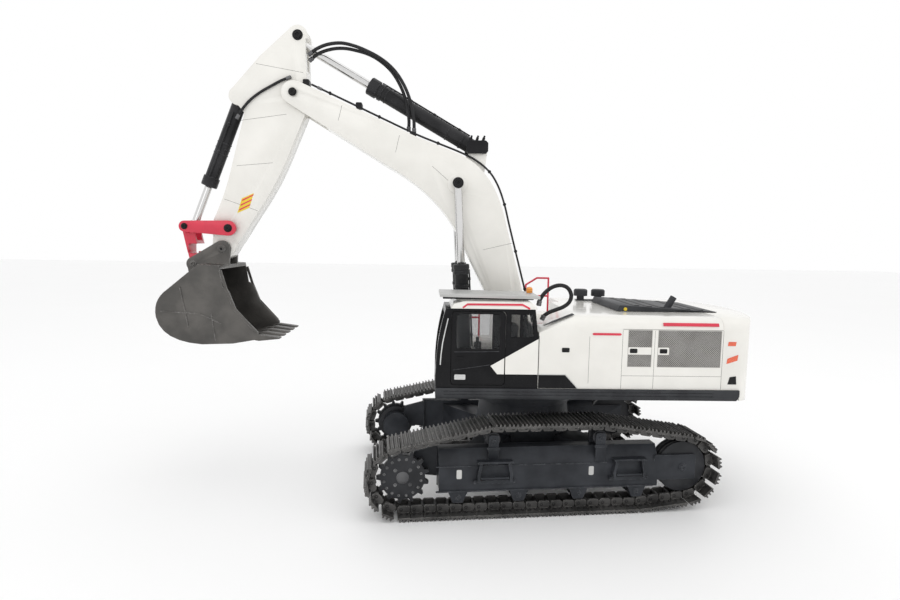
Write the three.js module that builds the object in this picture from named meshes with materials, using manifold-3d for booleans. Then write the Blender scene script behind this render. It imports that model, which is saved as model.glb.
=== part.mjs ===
// Radio controlled crawler excavator, 1:14 class, as an assembly of separate pieces.
// Millimetres, +Z up, +X towards the counterweight, -X towards the bucket, -Y is the cab side.
// The origin is under the middle of the whole machine, on the surface that it stands on.
import * as THREE from "three";
import { mergeVertices } from "three/addons/utils/BufferGeometryUtils.js";
import Module from "manifold-3d";

const wasm = await Module();
wasm.setup();

// ---------------------------------------------------------------- driving dimensions
const TOUCH_GAP = 0.3; // between two pieces that rest on each other
const PIN_CLEARANCE = 0.15; // radial, round every pin and shaft in its hole
const SWING_REST = THREE.MathUtils.degToRad(-5.1); // how far the upper structure is turned

// Crawler tracks.
const TUMBLER_SPAN = 288; // drive sprocket to idler
const TRACK_WIDTH_OVERALL = 232.4;
const SHOE_WIDTH = 42;
const SHOE_COUNT = 58;
const LINK_HEIGHT = 7;
const SHOE_THICKNESS = 2;
const GROUSER_HEIGHT = 2.5;
const CHAIN_WIDTH = 18;
const SPROCKET_RADIUS = 26.2; // to the tooth tips
const IDLER_RADIUS = 26.2;
const IDLER_LIFT = 5; // idler axle above the sprocket axle
const BOTTOM_ROLLER_RADIUS = 6.8;
const BOTTOM_ROLLER_COUNT = 4;
const BOTTOM_ROLLER_SPAN = 185; // first to last
const CARRIER_RADIUS = 7.2;
const CARRIER_SPAN = 110;
const CARRIER_Z = 76;
const ROLLER_LENGTH = 16;
const ROLLER_AXLE_RADIUS = 2;

// Side frames and the middle of the undercarriage.
const SIDE_FRAME_LENGTH = 226;
const SIDE_FRAME_BOTTOM = 24.5;
const SIDE_FRAME_RIDGE = 50;
const SIDE_FRAME_TOP = 66;
const SIDE_PLATE = 2.6;
const SLEW_RADIUS = 54;
const SLEW_BOTTOM = 94;
const SLEW_TOP = 108;

// Upper structure.
const HALF_WIDTH = 106; // over the skirt
const SKIRT_BOTTOM = 116.5;
const SKIRT_TOP = 127;
const SKIRT_WALL = 4;
const FRONT_X = -104; // front face of the cab
const TANK_FRONT_X = -62; // front of the tank side, right of the boom
const HOUSING_FRONT_X = 36; // front of the full width engine bay
const COUNTERWEIGHT_X = 182; // joint between housing and counterweight
const SKIRT_END_X = 201; // the counterweight hangs down behind this
const TAIL_RADIUS = 233; // about the swing axis
const DECK_Z = 200;
const TANK_TOP_Z = 183;
const TOOL_BOX_TOP_Z = 150;
const TANK_STEP_X = -30; // from the tool box up to the tank
const TANK_REAR_X = 48; // from the tank up to the deck
const SHOULDER_RADIUS = 14;
const HOUSING_WALL = 2.5;
const BODY_INSET = 1.6; // the housing's sides stand in from the skirt by this
const HOOD_HEIGHT = 6.6;

// Cab.
const CAB_REAR_X = -3;
const BOOM_HALF_WIDTH = 17;
const CAB_INNER_Y = -(BOOM_HALF_WIDTH + 21); // the boom stands between the cab and the tank
const CAB_TOP = 205.5;
const CAB_WALL = 3;
const CAB_ROOF_HEIGHT = 7.5;
const GUARD_Z = CAB_TOP + 11; // roof plate, on four feet over the cab's roof
const GUARD_THICKNESS = 3;

// Front attachment: widths across the machine.
const STICK_HALF_WIDTH = 13;
const ROCKER_THICKNESS = 4;
const EAR_THICKNESS = 3.5;
const BUCKET_HALF_WIDTH = 48;
const BUCKET_WALL = 2.5;
const TOOTH_COUNT = 5;
const LIFT_CYLINDER_Y = BOOM_HALF_WIDTH + 9.5; // clear of the bosses on the boom's sides
const SIDE_PLAY = 0.4; // between the faces of pieces that turn on one pin

// Pivots, as x and z in the upper structure's middle plane.
const point = (x, z) => new THREE.Vector2(x, z);
const BOOM_FOOT = point(-3, 150);
const LIFT_FOOT = point(-70.3, 136.3);
const LIFT_HEAD = point(-82, 333.3);
const ARM_CYLINDER_FOOT = point(-57, 371);
const STICK_PIVOT = point(-260.4, 426.5);
const ARM_ROD_EYE = point(-255.8, 482);
const BUCKET_CYLINDER_FOOT = point(-319.6, 422.3);
const ROCKER_PIVOT = point(-330.3, 280.4);
const LINK_HEAD = point(-377, 281.7);
const BUCKET_ROD_EYE = point(-373.1, 284.1);
const BUCKET_PIVOT = point(-338.7, 257.7);
const LINK_FOOT = point(-368.1, 240.9);
const BUCKET_LINK_HOLE = point(-369.9, 241);

// Cylinders: barrel radius and length, rod radius and length from eye to inner end, and how far
// past its foot eye the barrel stays narrow to swing between its ears.
const LIFT = { barrel: 7.6, mouth: 110, rod: 4.3, rodLength: 105, eye: 6, pin: 3, neck: 5.4 };
const ARM = { barrel: 8.3, mouth: 141, rod: 4.5, rodLength: 124, eye: 5.4, pin: 3, neck: 2 };
const BUCKET = { barrel: 7.4, mouth: 103, rod: 4, rodLength: 82, eye: 5, pin: 2.4, neck: 2 };
const GLAND_CLEARANCE = 0.35;

// ---------------------------------------------------------------- colours and finishes
const warmWhite = [0xefece0, 0.32, 0];
const blackPlastic = [0x1b1c1e, 0.5, 0];
const charcoal = [0x2f3236, 0.55, 0.1];
const trackMetal = [0x55565a, 0.45, 0.7];
const bucketMetal = [0x4b4744, 0.5, 0.6];
const polishedSteel = [0xd9dadb, 0.12, 1];
const accentRed = [0xdf4560, 0.4, 0];
const amber = [0xf0a028, 0.3, 0];
const blackRubber = [0x141416, 0.7, 0];
const boardGreen = [0x1f5a3a, 0.6, 0];
const motorSteel = [0xa9abad, 0.35, 0.9];

// ---------------------------------------------------------------- solids
function solid(geometry) {
  const bare = geometry.index ? geometry.toNonIndexed() : geometry.clone();
  bare.deleteAttribute("normal");
  bare.deleteAttribute("uv");
  const merged = mergeVertices(bare, 1e-4);
  const vertProperties = new Float32Array(merged.attributes.position.array);
  const triVerts = new Uint32Array(merged.index.array);
  return new wasm.Manifold(new wasm.Mesh({ numProp: 3, vertProperties, triVerts }));
}

const join = (...pieces) => pieces.reduce((whole, piece) => whole.add(piece));
const cut = (whole, ...tools) => tools.reduce((rest, tool) => rest.subtract(tool), whole);

function box(x0, x1, y0, y1, z0, z1) {
  const geometry = new THREE.BoxGeometry(x1 - x0, y1 - y0, z1 - z0);
  return solid(geometry.translate((x0 + x1) / 2, (y0 + y1) / 2, (z0 + z1) / 2));
}

// A flat outline in x and z, given thickness across the machine from y0 to y1.
function across(shape, y0, y1, curveSegments = 6) {
  const options = { depth: y1 - y0, bevelEnabled: false, curveSegments };
  return solid(new THREE.ExtrudeGeometry(shape, options).rotateX(Math.PI / 2).translate(0, y1, 0));
}

// A flat outline in x and y, standing from z0 to z1.
function upright(shape, z0, z1, curveSegments = 6) {
  const options = { depth: z1 - z0, bevelEnabled: false, curveSegments };
  return solid(new THREE.ExtrudeGeometry(shape, options).translate(0, 0, z0));
}

// A flat outline in y and z, running from x0 to x1.
function lengthwise(shape, x0, x1, curveSegments = 4) {
  const options = { depth: x1 - x0, bevelEnabled: false, curveSegments };
  const geometry = new THREE.ExtrudeGeometry(shape, options);
  geometry.rotateX(Math.PI / 2).rotateZ(Math.PI / 2);
  return solid(geometry.translate(x0, 0, 0));
}

// A round bar across the machine, centred on a point of the middle plane.
function barAcross(centre, radius, y0, y1, sides = 20) {
  const geometry = new THREE.CylinderGeometry(radius, radius, y1 - y0, sides);
  return solid(geometry.translate(centre.x, (y0 + y1) / 2, centre.y));
}

// A round bar between two points in space.
function barBetween(start, end, radius, sides = 16, endRadius = radius) {
  const along = new THREE.Vector3().subVectors(end, start);
  const geometry = new THREE.CylinderGeometry(endRadius, radius, along.length(), sides);
  const turn = new THREE.Quaternion().setFromUnitVectors(
    new THREE.Vector3(0, 1, 0),
    along.clone().normalize(),
  );
  const middle = new THREE.Vector3().addVectors(start, end).multiplyScalar(0.5);
  return solid(geometry.applyQuaternion(turn).translate(middle.x, middle.y, middle.z));
}

// The outline of a strap with a round end about each of two points.
function strap(a, b, radiusA, radiusB = radiusA) {
  const direction = new THREE.Vector2().subVectors(b, a);
  const heading = direction.angle();
  const lean = Math.acos((radiusA - radiusB) / direction.length());
  const shape = new THREE.Shape();
  shape.absarc(a.x, a.y, radiusA, heading + lean, heading - lean + Math.PI * 2, false);
  shape.absarc(b.x, b.y, radiusB, heading - lean, heading + lean, false);
  shape.closePath();
  return shape;
}

function outline(...points) {
  return new THREE.Shape(points.map(([x, z]) => point(x, z)));
}

function roundedBlock(u0, u1, v0, v1, radius) {
  const shape = new THREE.Shape();
  shape.absarc(u1 - radius, v0 + radius, radius, -Math.PI / 2, 0, false);
  shape.absarc(u1 - radius, v1 - radius, radius, 0, Math.PI / 2, false);
  shape.absarc(u0 + radius, v1 - radius, radius, Math.PI / 2, Math.PI, false);
  shape.absarc(u0 + radius, v0 + radius, radius, Math.PI, Math.PI * 1.5, false);
  shape.closePath();
  return shape;
}

function tubeAlong(points, radius, steps) {
  const section = new THREE.Shape();
  section.absarc(0, 0, radius, 0, Math.PI * 2, false);
  const route = new THREE.CatmullRomCurve3(points.map(([x, y, z]) => new THREE.Vector3(x, y, z)));
  const options = { extrudePath: route, steps, curveSegments: 4 };
  return solid(new THREE.ExtrudeGeometry(section, options));
}

// ---------------------------------------------------------------- assembly
const machine = new THREE.Group();
const upper = new THREE.Group();
upper.rotation.z = SWING_REST;
machine.add(upper);

function add(parent, name, shape, [color, roughness, metalness]) {
  const { vertProperties, triVerts } = shape.getMesh();
  const geometry = new THREE.BufferGeometry();
  geometry.setAttribute("position", new THREE.BufferAttribute(new Float32Array(vertProperties), 3));
  geometry.setIndex(new THREE.BufferAttribute(new Uint32Array(triVerts), 1));
  const look = { color, roughness, metalness, flatShading: true };
  const mesh = new THREE.Mesh(geometry, new THREE.MeshStandardMaterial(look));
  mesh.name = name;
  parent.add(mesh);
}

// ---------------------------------------------------------------- crawler track layout
const BELT_THICKNESS = LINK_HEIGHT + SHOE_THICKNESS + GROUSER_HEIGHT;
const TRACK_Y = (TRACK_WIDTH_OVERALL - SHOE_WIDTH) / 2; // middle of each track
const TUMBLER_BAND = SPROCKET_RADIUS + TOUCH_GAP; // where the chain's inside runs
const SPROCKET_AXLE = point(-TUMBLER_SPAN / 2, BELT_THICKNESS + TUMBLER_BAND);
const IDLER_AXLE = point(TUMBLER_SPAN / 2, SPROCKET_AXLE.y + IDLER_LIFT);
const BOTTOM_ROLLER_Z = BELT_THICKNESS + TOUCH_GAP + BOTTOM_ROLLER_RADIUS;
const BOTTOM_ROLLER_MIDDLE = 2.5;
const bottomRollerAxles = Array.from({ length: BOTTOM_ROLLER_COUNT }, (_, index) => {
  const share = index / (BOTTOM_ROLLER_COUNT - 1) - 0.5;
  return point(BOTTOM_ROLLER_MIDDLE + share * BOTTOM_ROLLER_SPAN, BOTTOM_ROLLER_Z);
});
const carrierAxles = [-CARRIER_SPAN / 2, CARRIER_SPAN / 2].map((x) => point(x, CARRIER_Z));

// The wheels that the chain lies on, in the order that it meets them.
const chainWheels = [
  { centre: bottomRollerAxles[BOTTOM_ROLLER_COUNT - 1], radius: BOTTOM_ROLLER_RADIUS + TOUCH_GAP },
  { centre: IDLER_AXLE, radius: IDLER_RADIUS + TOUCH_GAP },
  { centre: carrierAxles[1], radius: CARRIER_RADIUS + TOUCH_GAP },
  { centre: carrierAxles[0], radius: CARRIER_RADIUS + TOUCH_GAP },
  { centre: SPROCKET_AXLE, radius: TUMBLER_BAND },
];

// A band stretched round those wheels, standing off them by the given height.
function chainBand(height) {
  const path = new THREE.Path();
  const count = chainWheels.length;
  const leave = chainWheels.map((wheel, index) => {
    const next = chainWheels[(index + 1) % count];
    const between = new THREE.Vector2().subVectors(next.centre, wheel.centre);
    const lean = Math.asin((wheel.radius - next.radius) / between.length());
    return between.angle() - Math.PI / 2 + lean;
  });
  chainWheels.forEach((wheel, index) => {
    const arrive = leave[(index + count - 1) % count];
    let depart = leave[index];
    while (depart < arrive) depart += Math.PI * 2;
    while (depart > arrive + Math.PI * 2) depart -= Math.PI * 2;
    path.absarc(wheel.centre.x, wheel.centre.y, wheel.radius + height, arrive, depart, false);
  });
  path.closePath();
  return path;
}

// Shoes with a raised grouser: two low corners and two high corners for each shoe.
function shoeOutline() {
  const low = chainBand(LINK_HEIGHT + SHOE_THICKNESS);
  const points = [];
  const shares = [0.06, 0.2, 0.8, 0.94];
  const heights = [0, GROUSER_HEIGHT, GROUSER_HEIGHT, 0];
  for (let shoe = 0; shoe < SHOE_COUNT; shoe++) {
    shares.forEach((share, corner) => {
      const at = (shoe + share) / SHOE_COUNT;
      const base = low.getPointAt(at);
      const along = low.getTangentAt(at);
      points.push(point(base.x + along.y * heights[corner], base.y - along.x * heights[corner]));
    });
  }
  return new THREE.Shape(points);
}

function trackBelt(side) {
  const shoes = shoeOutline();
  shoes.holes.push(new THREE.Path(chainBand(LINK_HEIGHT).getPoints(8)));
  const chain = new THREE.Shape(chainBand(LINK_HEIGHT + SHOE_THICKNESS / 2).getPoints(8));
  chain.holes.push(new THREE.Path(chainBand(0).getPoints(8)));
  const middle = side * TRACK_Y;
  const shoeBand = across(shoes, middle - SHOE_WIDTH / 2, middle + SHOE_WIDTH / 2);
  return join(shoeBand, across(chain, middle - CHAIN_WIDTH / 2, middle + CHAIN_WIDTH / 2));
}

// ---------------------------------------------------------------- wheels of the tracks
const FRAME_OUTER = TRACK_Y + ROLLER_LENGTH / 2 + SIDE_PLAY + SIDE_PLATE;
const FRAME_INNER = TRACK_Y - ROLLER_LENGTH / 2 - SIDE_PLAY - SIDE_PLATE;
const HUB_RADIUS = 21;
const HUB_PROUD = 2.4; // hub cover beyond the sprocket's middle, outwards
const TOOTH_COUNT_SPROCKET = 13;
const SPROCKET_TOOTH_HALF_WIDTH = 3.5;
const IDLER_SHAFT_RADIUS = 3;
const FINAL_DRIVE_RADIUS = 16;
const DRIVE_SHAFT_RADIUS = 4;
const GROOVE_DEPTH = 1.2; // of the running surface between a wheel's rims
const GROOVE_LIMIT = 10; // wheels of more than twice this radius get more sides

// y range of something on one side, measured outwards from the middle of the machine
const sideRange = (side, near, far) => (side > 0 ? [near, far] : [-far, -near]);

function sprocket(side) {
  const root = SPROCKET_RADIUS - 4;
  const shape = new THREE.Shape();
  const pitch = (Math.PI * 2) / TOOTH_COUNT_SPROCKET;
  for (let tooth = 0; tooth < TOOTH_COUNT_SPROCKET; tooth++) {
    const flanks = [[0, root], [0.3, root], [0.42, SPROCKET_RADIUS], [0.6, SPROCKET_RADIUS], [0.72, root]];
    for (const [share, radius] of flanks) {
      const angle = (tooth + share) * pitch;
      const corner = point(Math.cos(angle), Math.sin(angle)).multiplyScalar(radius).add(SPROCKET_AXLE);
      if (tooth === 0 && share === 0) shape.moveTo(corner.x, corner.y);
      else shape.lineTo(corner.x, corner.y);
    }
  }
  const toothRange = sideRange(side, TRACK_Y - SPROCKET_TOOTH_HALF_WIDTH, TRACK_Y + SPROCKET_TOOTH_HALF_WIDTH);
  const teeth = across(shape, ...toothRange);
  const drumInner = FRAME_INNER + SIDE_PLATE;
  const drum = barAcross(SPROCKET_AXLE, HUB_RADIUS, ...sideRange(side, drumInner, TRACK_Y + HUB_PROUD), 28);
  const boreRange = sideRange(side, drumInner - 1, TRACK_Y);
  const bore = barAcross(SPROCKET_AXLE, DRIVE_SHAFT_RADIUS + PIN_CLEARANCE, ...boreRange);
  return cut(join(teeth, drum), bore);
}

function wheelOnAxle(side, axle, radius, bore, flange) {
  const half = ROLLER_LENGTH / 2;
  const sides = radius > 2 * GROOVE_LIMIT ? 28 : 16;
  const tread = barAcross(axle, radius, ...sideRange(side, TRACK_Y - half, TRACK_Y + half), sides);
  const groove = cut(
    barAcross(axle, radius + 1, ...sideRange(side, TRACK_Y - half + flange, TRACK_Y + half - flange), sides),
    barAcross(axle, radius - GROOVE_DEPTH, ...sideRange(side, TRACK_Y - half, TRACK_Y + half), sides),
  );
  const hole = barAcross(axle, bore, ...sideRange(side, TRACK_Y - half - 1, TRACK_Y + half + 1), 12);
  return cut(tread, groove, hole);
}

// ---------------------------------------------------------------- side frames
const FRAME_HALF = SIDE_FRAME_LENGTH / 2;
const FRAME_MIDDLE_X = 4;
const ROLLER_ROOM = 2.4; // over the bottom rollers

function trackFrame(side) {
  const y = (near, far) => sideRange(side, near, far);
  const x0 = FRAME_MIDDLE_X - FRAME_HALF;
  const x1 = FRAME_MIDDLE_X + FRAME_HALF;
  const rollerTop = BOTTOM_ROLLER_Z + BOTTOM_ROLLER_RADIUS + ROLLER_ROOM;

  // The beam, with a sloping shoulder above the ridge of its outer face.
  const lean = FRAME_OUTER - 9;
  const section = [
    [FRAME_INNER, rollerTop],
    [FRAME_OUTER, rollerTop],
    [FRAME_OUTER, SIDE_FRAME_RIDGE],
    [lean, SIDE_FRAME_TOP],
    [FRAME_INNER, SIDE_FRAME_TOP],
  ];
  const turned = side > 0 ? section : section.map(([v, z]) => [-v, z]).reverse();
  let frame = lengthwise(outline(...turned), x0, x1);

  // Plates down both sides of the rollers, with a rounded tab at each roller.
  const outerPlate = y(FRAME_OUTER - SIDE_PLATE, FRAME_OUTER);
  const innerPlate = y(FRAME_INNER, FRAME_INNER + SIDE_PLATE);
  for (const plate of [outerPlate, innerPlate]) {
    frame = join(frame, box(x0, x1, ...plate, SIDE_FRAME_BOTTOM, rollerTop + 1));
    for (const axle of bottomRollerAxles) {
      const tab = outline(
        [axle.x - 10, SIDE_FRAME_BOTTOM + 1],
        [axle.x - 5, axle.y - 5],
        [axle.x + 5, axle.y - 5],
        [axle.x + 10, SIDE_FRAME_BOTTOM + 1],
      );
      frame = join(frame, across(tab, ...plate));
    }
    for (const axle of carrierAxles) {
      const post = roundedBlock(axle.x - 5, axle.x + 5, SIDE_FRAME_RIDGE, axle.y + 5, 2);
      frame = join(frame, across(post, ...plate, 2));
    }
  }
  for (const axle of [...bottomRollerAxles, ...carrierAxles]) {
    frame = join(frame, barAcross(axle, ROLLER_AXLE_RADIUS, ...y(FRAME_INNER + 1, FRAME_OUTER - 1), 12));
  }

  // Final drive arm behind the sprocket, its shaft, and its motor on the inner side.
  const armTop = SPROCKET_AXLE.y + 28;
  const drive = outline(
    [x0 + 1, SPROCKET_AXLE.y - 4],
    [x0 + 1, SIDE_FRAME_TOP],
    [SPROCKET_AXLE.x + 12, armTop - 6],
    [SPROCKET_AXLE.x + 4, SPROCKET_AXLE.y],
  );
  const driveY = y(FRAME_INNER - 4, FRAME_INNER + SIDE_PLATE - 0.6);
  const shaft = barAcross(SPROCKET_AXLE, DRIVE_SHAFT_RADIUS, ...y(FRAME_INNER - 2, TRACK_Y - 1));
  const driveRange = y(FRAME_INNER - 12, FRAME_INNER + SIDE_PLATE - 0.6);
  const housing = barAcross(SPROCKET_AXLE, FINAL_DRIVE_RADIUS, ...driveRange, 24);
  frame = join(frame, across(drive, ...driveY), housing, shaft);

  // Idler yoke: a plate on each side of the idler and the shaft between them.
  const yoke = roundedBlock(x1 - 4, IDLER_AXLE.x + 14, IDLER_AXLE.y - 12.5, IDLER_AXLE.y + 13.5, 2);
  frame = join(frame, across(yoke, ...outerPlate, 2), across(yoke, ...innerPlate, 2));
  return join(frame, barAcross(IDLER_AXLE, IDLER_SHAFT_RADIUS, ...y(FRAME_INNER + 1, FRAME_OUTER - 1)));
}

// ---------------------------------------------------------------- middle of the undercarriage
const LEG_BOTTOM = 36;
const LEG_TOP = 62;
const LEG_REACH_X = 84;
const LEG_WIDTH = 34;

function carBody() {
  const drumHeight = SLEW_BOTTOM - TOUCH_GAP - LEG_BOTTOM;
  const drum = new THREE.CylinderGeometry(SLEW_RADIUS - 4, SLEW_RADIUS + 4, drumHeight, 24);
  drum.rotateX(Math.PI / 2).translate(0, 0, (SLEW_BOTTOM - TOUCH_GAP + LEG_BOTTOM) / 2);
  let body = solid(drum);
  const reachY = FRAME_INNER - TOUCH_GAP;
  for (const end of [-1, 1]) {
    for (const side of [-1, 1]) {
      const leg = outline(
        [end * (LEG_REACH_X - LEG_WIDTH), side * reachY],
        [end * LEG_REACH_X, side * reachY],
        [end * 40, side * 14],
        [end * 10, side * 30],
      );
      const turned = end * side > 0 ? leg : new THREE.Shape(leg.getPoints().reverse());
      body = join(body, upright(turned, LEG_BOTTOM + 2, LEG_TOP));
    }
  }
  return body;
}

function slewRing() {
  const ring = new THREE.LatheGeometry(
    [
      point(SLEW_RADIUS - 12, SLEW_BOTTOM),
      point(SLEW_RADIUS, SLEW_BOTTOM),
      point(SLEW_RADIUS, SLEW_BOTTOM + 6),
      point(SLEW_RADIUS - 3, SLEW_TOP),
      point(SLEW_RADIUS - 12, SLEW_TOP),
      point(SLEW_RADIUS - 12, SLEW_BOTTOM),
    ],
    36,
  );
  return solid(ring.rotateX(Math.PI / 2));
}

add(machine, "car_body", carBody(), charcoal);
add(machine, "slew_ring", slewRing(), motorSteel);
for (const [sideName, side] of [["left", -1], ["right", 1]]) {
  add(machine, `track_frame_${sideName}`, trackFrame(side), charcoal);
  add(machine, `track_belt_${sideName}`, trackBelt(side), trackMetal);
  add(machine, `sprocket_${sideName}`, sprocket(side), charcoal);
  const idler = wheelOnAxle(side, IDLER_AXLE, IDLER_RADIUS, IDLER_SHAFT_RADIUS + PIN_CLEARANCE, 5);
  add(machine, `idler_${sideName}`, idler, charcoal);
  bottomRollerAxles.forEach((axle, index) => {
    const roller = wheelOnAxle(side, axle, BOTTOM_ROLLER_RADIUS, ROLLER_AXLE_RADIUS + PIN_CLEARANCE, 4);
    add(machine, `bottom_roller_${sideName}_${index + 1}`, roller, charcoal);
  });
  carrierAxles.forEach((axle, index) => {
    const roller = wheelOnAxle(side, axle, CARRIER_RADIUS, ROLLER_AXLE_RADIUS + PIN_CLEARANCE, 4);
    add(machine, `carrier_roller_${sideName}_${index + 1}`, roller, charcoal);
  });
}

// ---------------------------------------------------------------- upper structure: platform and skirt
const TAIL_CORNER = 14;
const SIDE_Y = HALF_WIDTH - BODY_INSET; // outer face of the housing and of the cab

// Plan of the platform, standing in from the skirt's outside by an inset.
function plan(inset) {
  const half = HALF_WIDTH - inset;
  const noseX = TANK_FRONT_X - 22 + inset;
  return outline(
    [FRONT_X + inset, -half],
    [SKIRT_END_X - inset, -half],
    [SKIRT_END_X - inset, half],
    [TANK_FRONT_X + inset, half],
    [TANK_FRONT_X + inset, -CAB_INNER_Y],
    [noseX, -CAB_INNER_Y - 4],
    [noseX, CAB_INNER_Y + 4],
    [FRONT_X + inset, CAB_INNER_Y],
  );
}

// Plan of the counterweight: straight sides and a tail that is an arc about the swing axis.
function tailPlan(frontX) {
  const reach = TAIL_RADIUS - TAIL_CORNER;
  const corner = Math.asin((SIDE_Y - TAIL_CORNER) / reach);
  const cornerX = Math.cos(corner) * reach;
  const shape = new THREE.Shape();
  shape.moveTo(frontX, SIDE_Y);
  shape.lineTo(frontX, -SIDE_Y);
  shape.absarc(cornerX, -SIDE_Y + TAIL_CORNER, TAIL_CORNER, -Math.PI / 2, -corner, false);
  shape.absarc(0, 0, TAIL_RADIUS, -corner, corner, false);
  shape.absarc(cornerX, SIDE_Y - TAIL_CORNER, TAIL_CORNER, corner, Math.PI / 2, false);
  shape.closePath();
  return shape;
}

const SKIRT_INSIDE = SKIRT_WALL + TOUCH_GAP;
const PLATE_BOTTOM = SKIRT_BOTTOM + 1.5;
const PLATE_TOP = SKIRT_TOP - 1;
const FOOT_EAR = 4; // thickness of each ear that holds the boom
const LIFT_EAR = 2.4;

function platform() {
  const neckHeight = PLATE_BOTTOM - SLEW_TOP - TOUCH_GAP + 1;
  const neck = new THREE.CylinderGeometry(SLEW_RADIUS - 4, SLEW_RADIUS - 4, neckHeight, 36);
  neck.rotateX(Math.PI / 2).translate(0, 0, (PLATE_BOTTOM + 1 + SLEW_TOP + TOUCH_GAP) / 2);
  let deck = join(upright(plan(SKIRT_INSIDE), PLATE_BOTTOM, PLATE_TOP), solid(neck));

  // Ears for the boom's foot.
  const ear = strap(point(BOOM_FOOT.x + 4, PLATE_TOP + 4), BOOM_FOOT, 22, 11);
  const earCut = box(-200, 200, -200, 200, 0, PLATE_BOTTOM + 1);
  const inner = BOOM_HALF_WIDTH + SIDE_PLAY;
  for (const side of [-1, 1]) {
    deck = join(deck, cut(across(ear, ...sideRange(side, inner, inner + FOOT_EAR)), earCut));
  }
  deck = cut(deck, barAcross(BOOM_FOOT, BOOM_FOOT_PIN + PIN_CLEARANCE, -40, 40));

  // Brackets for the two lift cylinders, each an open pair of ears with short trunnions.
  const lug = strap(point(LIFT_FOOT.x, PLATE_TOP), LIFT_FOOT, 9, 7);
  const eyeHalf = LIFT_EYE_HALF + SIDE_PLAY;
  for (const side of [-1, 1]) {
    for (const face of [-1, 1]) {
      const near = LIFT_CYLINDER_Y + (face > 0 ? eyeHalf : -eyeHalf - LIFT_EAR);
      deck = join(deck, cut(across(lug, ...sideRange(side, near, near + LIFT_EAR)), earCut));
    }
  }
  return deck;
}

function sideSkirt() {
  const ring = cut(
    upright(plan(0), SKIRT_BOTTOM, SKIRT_TOP),
    upright(plan(SKIRT_WALL), SKIRT_BOTTOM - 1, SKIRT_TOP + 1),
  );
  // The lower rear edge is chamfered, and two shallow grooves run along both sides.
  const chamfer = outline(
    [SKIRT_END_X - 3.5, SKIRT_BOTTOM - 1],
    [SKIRT_END_X + 1, SKIRT_BOTTOM - 1],
    [SKIRT_END_X + 1, SKIRT_BOTTOM + 6],
  );
  const grooveDepth = 0.8;
  const grooves = [0.36, 0.68].flatMap((share) =>
    [-1, 1].map((side) => {
      const z = THREE.MathUtils.lerp(SKIRT_BOTTOM, SKIRT_TOP, share);
      const range = sideRange(side, HALF_WIDTH - grooveDepth, HALF_WIDTH + 1);
      return box(FRONT_X + 8, COUNTERWEIGHT_X - 8, ...range, z, z + 1);
    }),
  );
  return cut(ring, across(chamfer, -HALF_WIDTH - 1, HALF_WIDTH + 1), ...grooves);
}

const BOOM_FOOT_PIN = 4.5;
const LIFT_EYE_HALF = 4.5;

add(upper, "platform", platform(), charcoal);
add(upper, "side_skirt", sideSkirt(), charcoal);
const footPinReach = BOOM_HALF_WIDTH + SIDE_PLAY + FOOT_EAR + 1.5;
add(upper, "boom_foot_pin", barAcross(BOOM_FOOT, BOOM_FOOT_PIN, -footPinReach, footPinReach), motorSteel);

// ---------------------------------------------------------------- housing, counterweight and hood
const HOUSING_BOTTOM = SKIRT_TOP + TOUCH_GAP;
const FILLER_TOP_Z = TANK_TOP_Z;

// Cross section in y and z with rounded shoulders, open to any inset.
function shouldered(inset, top, yLow = -SIDE_Y, yHigh = SIDE_Y) {
  const radius = SHOULDER_RADIUS - inset;
  const shape = new THREE.Shape();
  shape.moveTo(yLow + inset, HOUSING_BOTTOM - (inset > 0 ? 1 : 0));
  shape.lineTo(yHigh - inset, HOUSING_BOTTOM - (inset > 0 ? 1 : 0));
  shape.absarc(yHigh - inset - radius, top - inset - radius, radius, 0, Math.PI / 2, false);
  shape.absarc(yLow + inset + radius, top - inset - radius, radius, Math.PI / 2, Math.PI, false);
  shape.closePath();
  return shape;
}

// The part of the housing that fills the corner behind the cab rises towards the deck.
function fillerProfile(inset) {
  return outline(
    [CAB_REAR_X + TOUCH_GAP + inset, HOUSING_BOTTOM - (inset > 0 ? 1 : 0)],
    [HOUSING_FRONT_X + HOUSING_WALL + 4, HOUSING_BOTTOM - (inset > 0 ? 1 : 0)],
    [HOUSING_FRONT_X + HOUSING_WALL + 4, DECK_Z - inset],
    [HOUSING_FRONT_X, DECK_Z - inset],
    [CAB_REAR_X + TOUCH_GAP + inset, FILLER_TOP_Z - inset],
  );
}

const VENT_POCKET = 1.2;
const VENTS = [
  { x0: 86, x1: 110, z0: 150, z1: 187 },
  { x0: 116, x1: 180, z0: 150, z1: 187 },
];

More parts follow.
